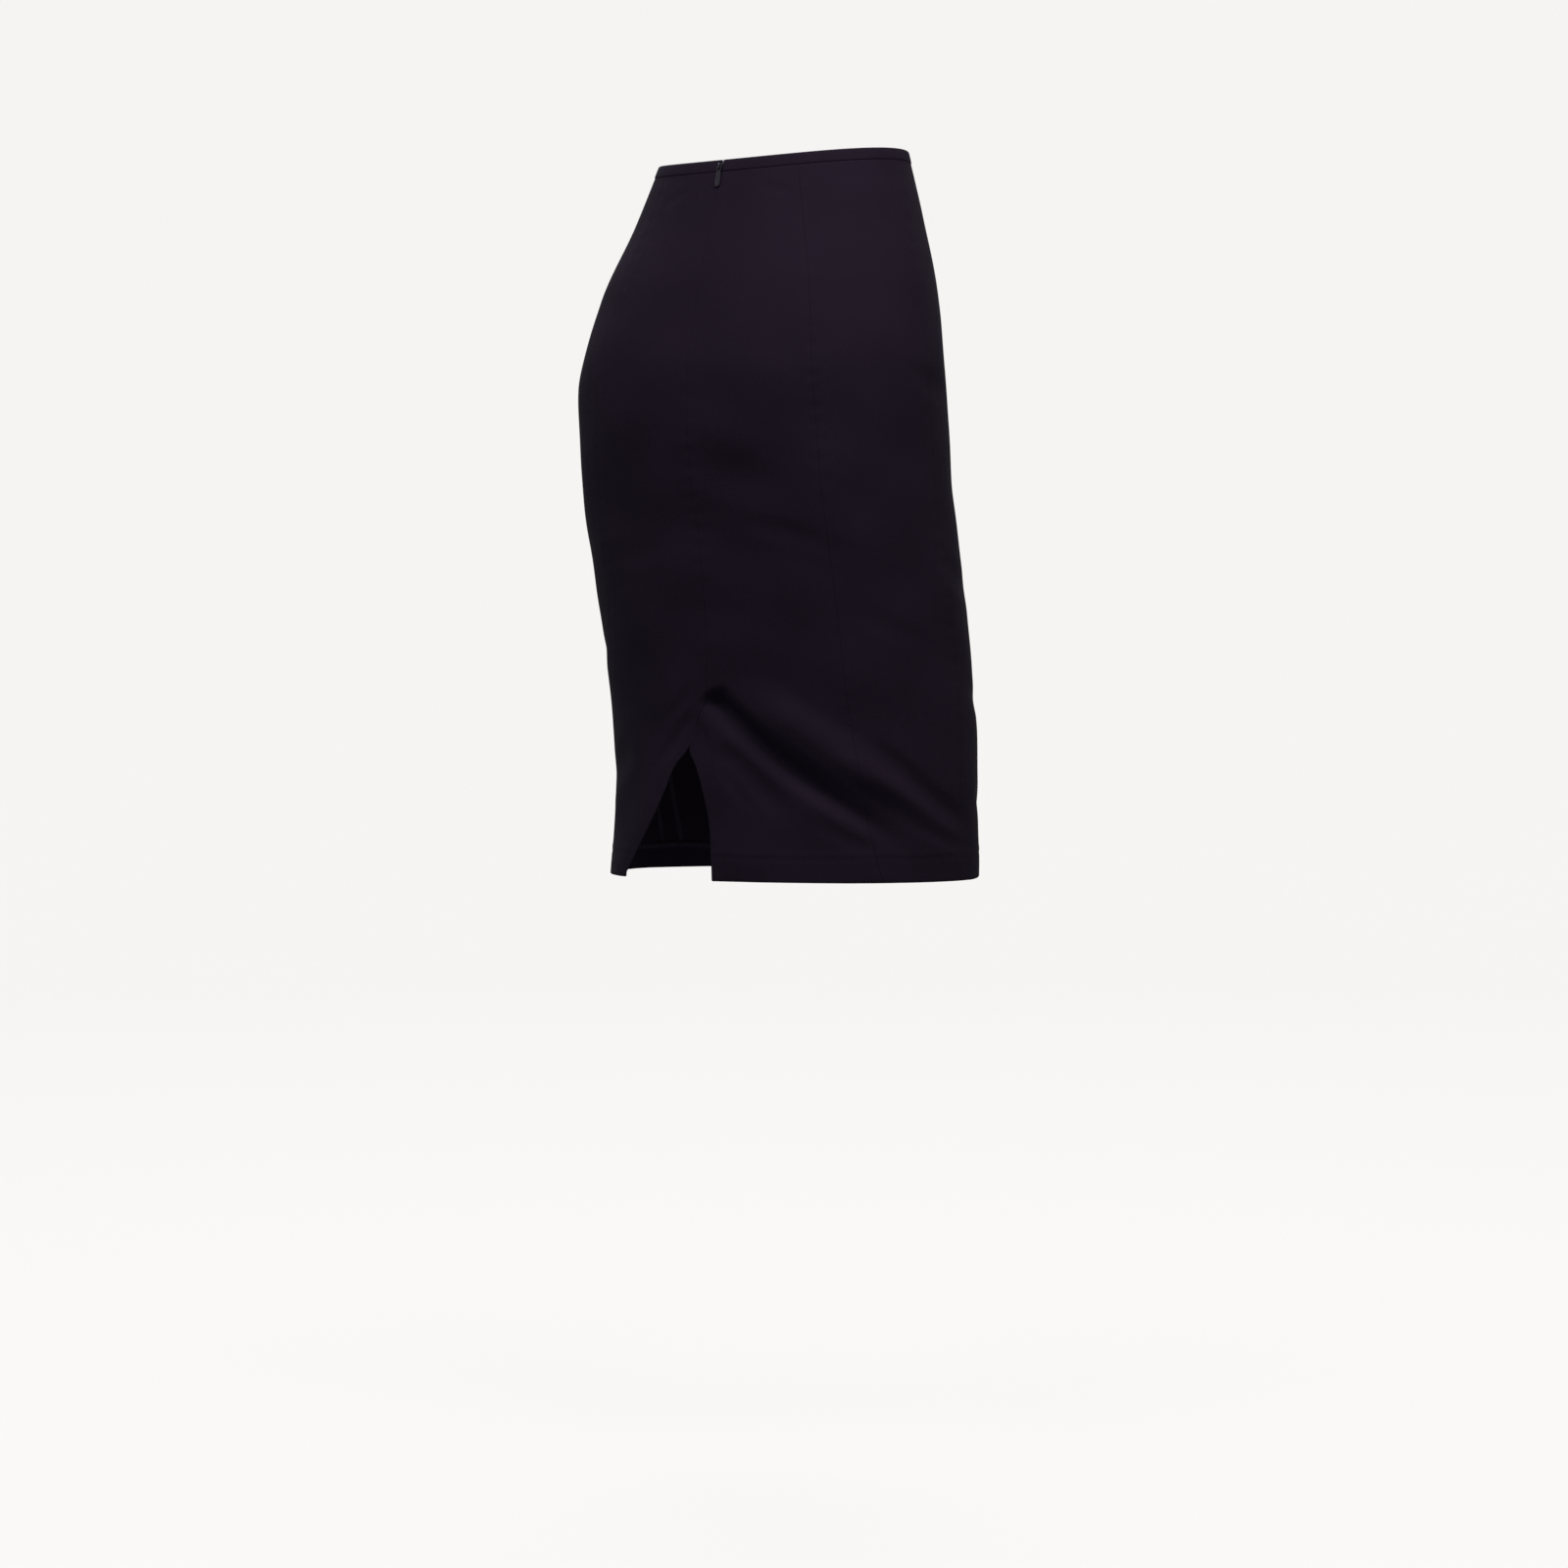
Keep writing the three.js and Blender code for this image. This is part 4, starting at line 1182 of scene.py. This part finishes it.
class SkirtStudio(bpy.types.PropertyGroup):
    """The floor, lights and camera."""

    floor_level: FloatProperty(
        name="Floor", description="Height of the studio floor below the waist", default=-1.17,
        min=-3, max=-0.7, unit="LENGTH",
    )
    paper_radius: FloatProperty(
        name="Paper radius", description="How far the paper runs before it curves up", default=5.2,
        min=4, max=12, unit="LENGTH",
    )
    paper_colour: FloatVectorProperty(
        name="Paper", description="Colour of the paper", subtype="COLOR", size=3,
        default=(0.93, 0.913, 0.905), min=0, max=1,
    )
    paper_glow: FloatProperty(
        name="Paper glow", description="Evenness of the paper's light", default=0.972, min=0, max=2,
    )
    key_power: FloatProperty(
        name="Key light", description="Power of the lamp on the camera's right", default=275, min=0,
        max=1000, unit="POWER",
    )
    front_power: FloatProperty(
        name="Front light", description="Power of the lamp opposite the camera", default=250, min=0,
        max=1000, unit="POWER",
    )
    fill_power: FloatProperty(
        name="Fill light", description="Power of the lamp on the camera's left", default=205, min=0,
        max=1000, unit="POWER",
    )
    air_strength: FloatProperty(
        name="Air", description="Strength of the light from all round", default=0.72, min=0, max=2,
    )
    camera_azimuth: FloatProperty(
        name="Camera azimuth", description="Way the camera stands round the skirt",
        default=math.radians(215), subtype="ANGLE",
    )
    camera_distance: FloatProperty(
        name="Camera distance", description="Camera to the skirt's upright axis", default=3.4,
        min=1, max=10, unit="LENGTH",
    )
    camera_height: FloatProperty(
        name="Camera height", description="Camera's height from the waist", default=-0.47,
        min=-1, max=2, unit="LENGTH",
    )
    camera_pitch: FloatProperty(
        name="Camera pitch", description="How far the camera looks down", default=math.radians(1.648),
        subtype="ANGLE",
    )
    camera_lens: FloatProperty(
        name="Lens", description="Focal length in millimetres", default=86, min=20, max=300,
    )


# ---- studio ----

PAPER_BEND, PAPER_WALL = 1.6, 3.0        # in metres: the radius of the curve, and the wall above it


def make_paper(studio):
    """A round sheet of paper that curves up into a wall, so that it is the same from every side."""
    bm = bmesh.new()
    centre = bm.verts.new((0, 0, 0))
    edge = [centre]
    reach = [studio.paper_radius * k / 6 for k in range(1, 7)]
    curve = [(studio.paper_radius + PAPER_BEND * math.sin(a), PAPER_BEND - PAPER_BEND * math.cos(a))
             for a in np.linspace(0, math.pi / 2, 13)[1:]]
    top = (studio.paper_radius + PAPER_BEND, PAPER_BEND + PAPER_WALL)
    for x, z in [(r, 0) for r in reach] + curve + [top]:
        edge.append(bm.verts.new((x, 0, z)))
    lines = [bm.edges.new((edge[k], edge[k + 1])) for k in range(len(edge) - 1)]
    bmesh.ops.spin(bm, geom=edge + lines, cent=(0, 0, 0), axis=(0, 0, 1), dvec=(0, 0, 0),
                   angle=2 * math.pi, steps=96, use_merge=True, use_duplicate=False)
    bmesh.ops.remove_doubles(bm, verts=bm.verts[:], dist=1e-5)
    bmesh.ops.recalc_face_normals(bm, faces=bm.faces[:])
    bmesh.ops.translate(bm, verts=bm.verts[:], vec=(0, 0, studio.floor_level))
    bm.normal_update()
    if min(bm.faces, key=lambda f: f.calc_center_median().length).normal.z < 0:
        bmesh.ops.reverse_faces(bm, faces=bm.faces[:])
    mesh = mesh_from(bm, "studio_floor")
    smooth(mesh)
    floor = new_object("studio_floor", mesh)
    mesh.materials.append(paper_material(tuple(studio.paper_colour), studio.paper_glow))
    # the lamps and the air light the skirt, and the paper's own glow doesn't
    floor.visible_diffuse = False
    floor.visible_glossy = False


def aim(thing, target):
    towards = Vector(target) - thing.location
    thing.rotation_euler = towards.to_track_quat("-Z", "Y").to_euler()


def around(azimuth, distance, height):
    return (distance * math.sin(azimuth), -distance * math.cos(azimuth), height)


# The lamps hang in a ring above the skirt, at these turns round it from the camera.
LAMP_DISTANCE, LAMP_HEIGHT = 1.9, 3.0
LAMP_SIZE = (1.8, 1.4)
LAMP_TARGET = (0, 0, -0.3)
KEY_TURN, FILL_TURN = math.radians(34), math.radians(42)
WARM_LIGHT, COOL_LIGHT = (1, 0.98, 0.97), (0.97, 0.98, 1)


def make_light(name, azimuth, power, colour):
    lamp = bpy.data.lights.new(name, "AREA")
    lamp.shape = "RECTANGLE"
    lamp.size, lamp.size_y = LAMP_SIZE
    lamp.energy = power
    lamp.color = colour
    light = bpy.data.objects.new(name, lamp)
    bpy.context.scene.collection.objects.link(light)
    light.location = around(azimuth, LAMP_DISTANCE, LAMP_HEIGHT)
    aim(light, LAMP_TARGET)


def make_camera(studio):
    lens = bpy.data.cameras.new("camera")
    lens.lens = studio.camera_lens
    lens.sensor_width = 36
    camera = bpy.data.objects.new("camera", lens)
    bpy.context.scene.collection.objects.link(camera)
    camera.location = around(studio.camera_azimuth, studio.camera_distance, studio.camera_height)
    camera.rotation_euler = (math.pi / 2 - studio.camera_pitch, 0, studio.camera_azimuth)
    bpy.context.scene.camera = camera


# ---- operators ----

def mesh_coarseness():
    return 1


class SKIRT_OT_front(bpy.types.Operator):
    """Make the one-piece front with its waist darts"""

    bl_idname = "skirt.make_front"
    bl_label = "Front"

    def execute(self, context):
        step = context.scene.skirt_sewing.front_step / MM * mesh_coarseness()
        make_panel("front", "right_side", "left_side_from_front", step, 1.15 * step)
        return {"FINISHED"}


class SKIRT_OT_back_panels(bpy.types.Operator):
    """Make the two centre back and two side back panels, with the slit between them"""

    bl_idname = "skirt.make_back_panels"
    bl_label = "Back panels"

    def execute(self, context):
        step = context.scene.skirt_sewing.back_step / MM * mesh_coarseness()
        make_panel("side_back_left", "left_side", "left_back", step, step)
        make_panel("centre_back_left", "left_back", "left_flap", step, step)
        make_panel("centre_back_right", "right_flap", "right_back", step, step)
        make_panel("side_back_right", "right_back", "right_side", step, step)
        return {"FINISHED"}


class SKIRT_OT_waistband(bpy.types.Operator):
    """Make the narrow doubled band round the waist"""

    bl_idname = "skirt.make_waistband"
    bl_label = "Waistband"

    def execute(self, context):
        make_waistband()
        return {"FINISHED"}


class SKIRT_OT_zip_tapes(bpy.types.Operator):
    """Make the zip's tapes and coils"""

    bl_idname = "skirt.make_zip_tapes"
    bl_label = "Zip tapes"

    def execute(self, context):
        make_zip_tape(-1, "zip_tape_left")
        make_zip_tape(1, "zip_tape_right")
        make_zip_coil(-1, "zip_coil_left")
        make_zip_coil(1, "zip_coil_right")
        return {"FINISHED"}


class SKIRT_OT_zip_slider(bpy.types.Operator):
    """Make the zip's slider with its bail"""

    bl_idname = "skirt.make_zip_slider"
    bl_label = "Zip slider"

    def execute(self, context):
        make_zip_slider()
        return {"FINISHED"}


class SKIRT_OT_zip_pull(bpy.types.Operator):
    """Make the zip's hanging pull tab"""

    bl_idname = "skirt.make_zip_pull"
    bl_label = "Zip pull"

    def execute(self, context):
        make_zip_pull()
        return {"FINISHED"}


class SKIRT_OT_studio(bpy.types.Operator):
    """Make the pale paper, the lights and the camera"""

    bl_idname = "skirt.make_studio"
    bl_label = "Studio"

    def execute(self, context):
        studio = context.scene.skirt_studio
        make_paper(studio)
        side = studio.camera_azimuth
        make_light("key_light", side + KEY_TURN, studio.key_power, WARM_LIGHT)
        make_light("front_light", side + math.pi, studio.front_power, WARM_LIGHT)
        make_light("fill_light", side - FILL_TURN, studio.fill_power, COOL_LIGHT)
        world = bpy.data.worlds.new("studio_air")
        world.use_nodes = True
        sky = world.node_tree.nodes["Background"]
        sky.inputs["Color"].default_value = (*studio.paper_colour, 1)
        sky.inputs["Strength"].default_value = studio.air_strength
        context.scene.world = world
        context.scene.view_settings.view_transform = "Standard"
        make_camera(studio)
        return {"FINISHED"}


class SKIRT_PT_maker(bpy.types.Panel):
    """The skirt's pieces and settings"""

    bl_idname = "SKIRT_PT_maker"
    bl_label = "Pencil Skirt"
    bl_space_type = "VIEW_3D"
    bl_region_type = "UI"
    bl_category = "Skirt"

    def draw(self, context):
        for group in (context.scene.skirt_sewing, context.scene.skirt_finish, context.scene.skirt_studio):
            box = self.layout.box()
            for name in group.__annotations__:
                box.prop(group, name)
        for operator in OPERATORS:
            self.layout.operator(operator.bl_idname)


OPERATORS = (
    SKIRT_OT_studio, SKIRT_OT_front, SKIRT_OT_back_panels, SKIRT_OT_waistband, SKIRT_OT_zip_tapes,
    SKIRT_OT_zip_slider, SKIRT_OT_zip_pull,
)
CLASSES = (SkirtSewing, SkirtFinish, SkirtStudio, *OPERATORS, SKIRT_PT_maker)


def register():
    for made in CLASSES:
        bpy.utils.register_class(made)
    bpy.types.Scene.skirt_sewing = PointerProperty(type=SkirtSewing)
    bpy.types.Scene.skirt_finish = PointerProperty(type=SkirtFinish)
    bpy.types.Scene.skirt_studio = PointerProperty(type=SkirtStudio)


def unregister():
    del bpy.types.Scene.skirt_studio
    del bpy.types.Scene.skirt_finish
    del bpy.types.Scene.skirt_sewing
    for made in reversed(CLASSES):
        bpy.utils.unregister_class(made)


def main():
    register()
    bpy.ops.skirt.make_studio()
    bpy.ops.skirt.make_front()
    bpy.ops.skirt.make_back_panels()
    bpy.ops.skirt.make_waistband()
    bpy.ops.skirt.make_zip_tapes()
    bpy.ops.skirt.make_zip_slider()
    bpy.ops.skirt.make_zip_pull()


if __name__ == "__main__":
    main()
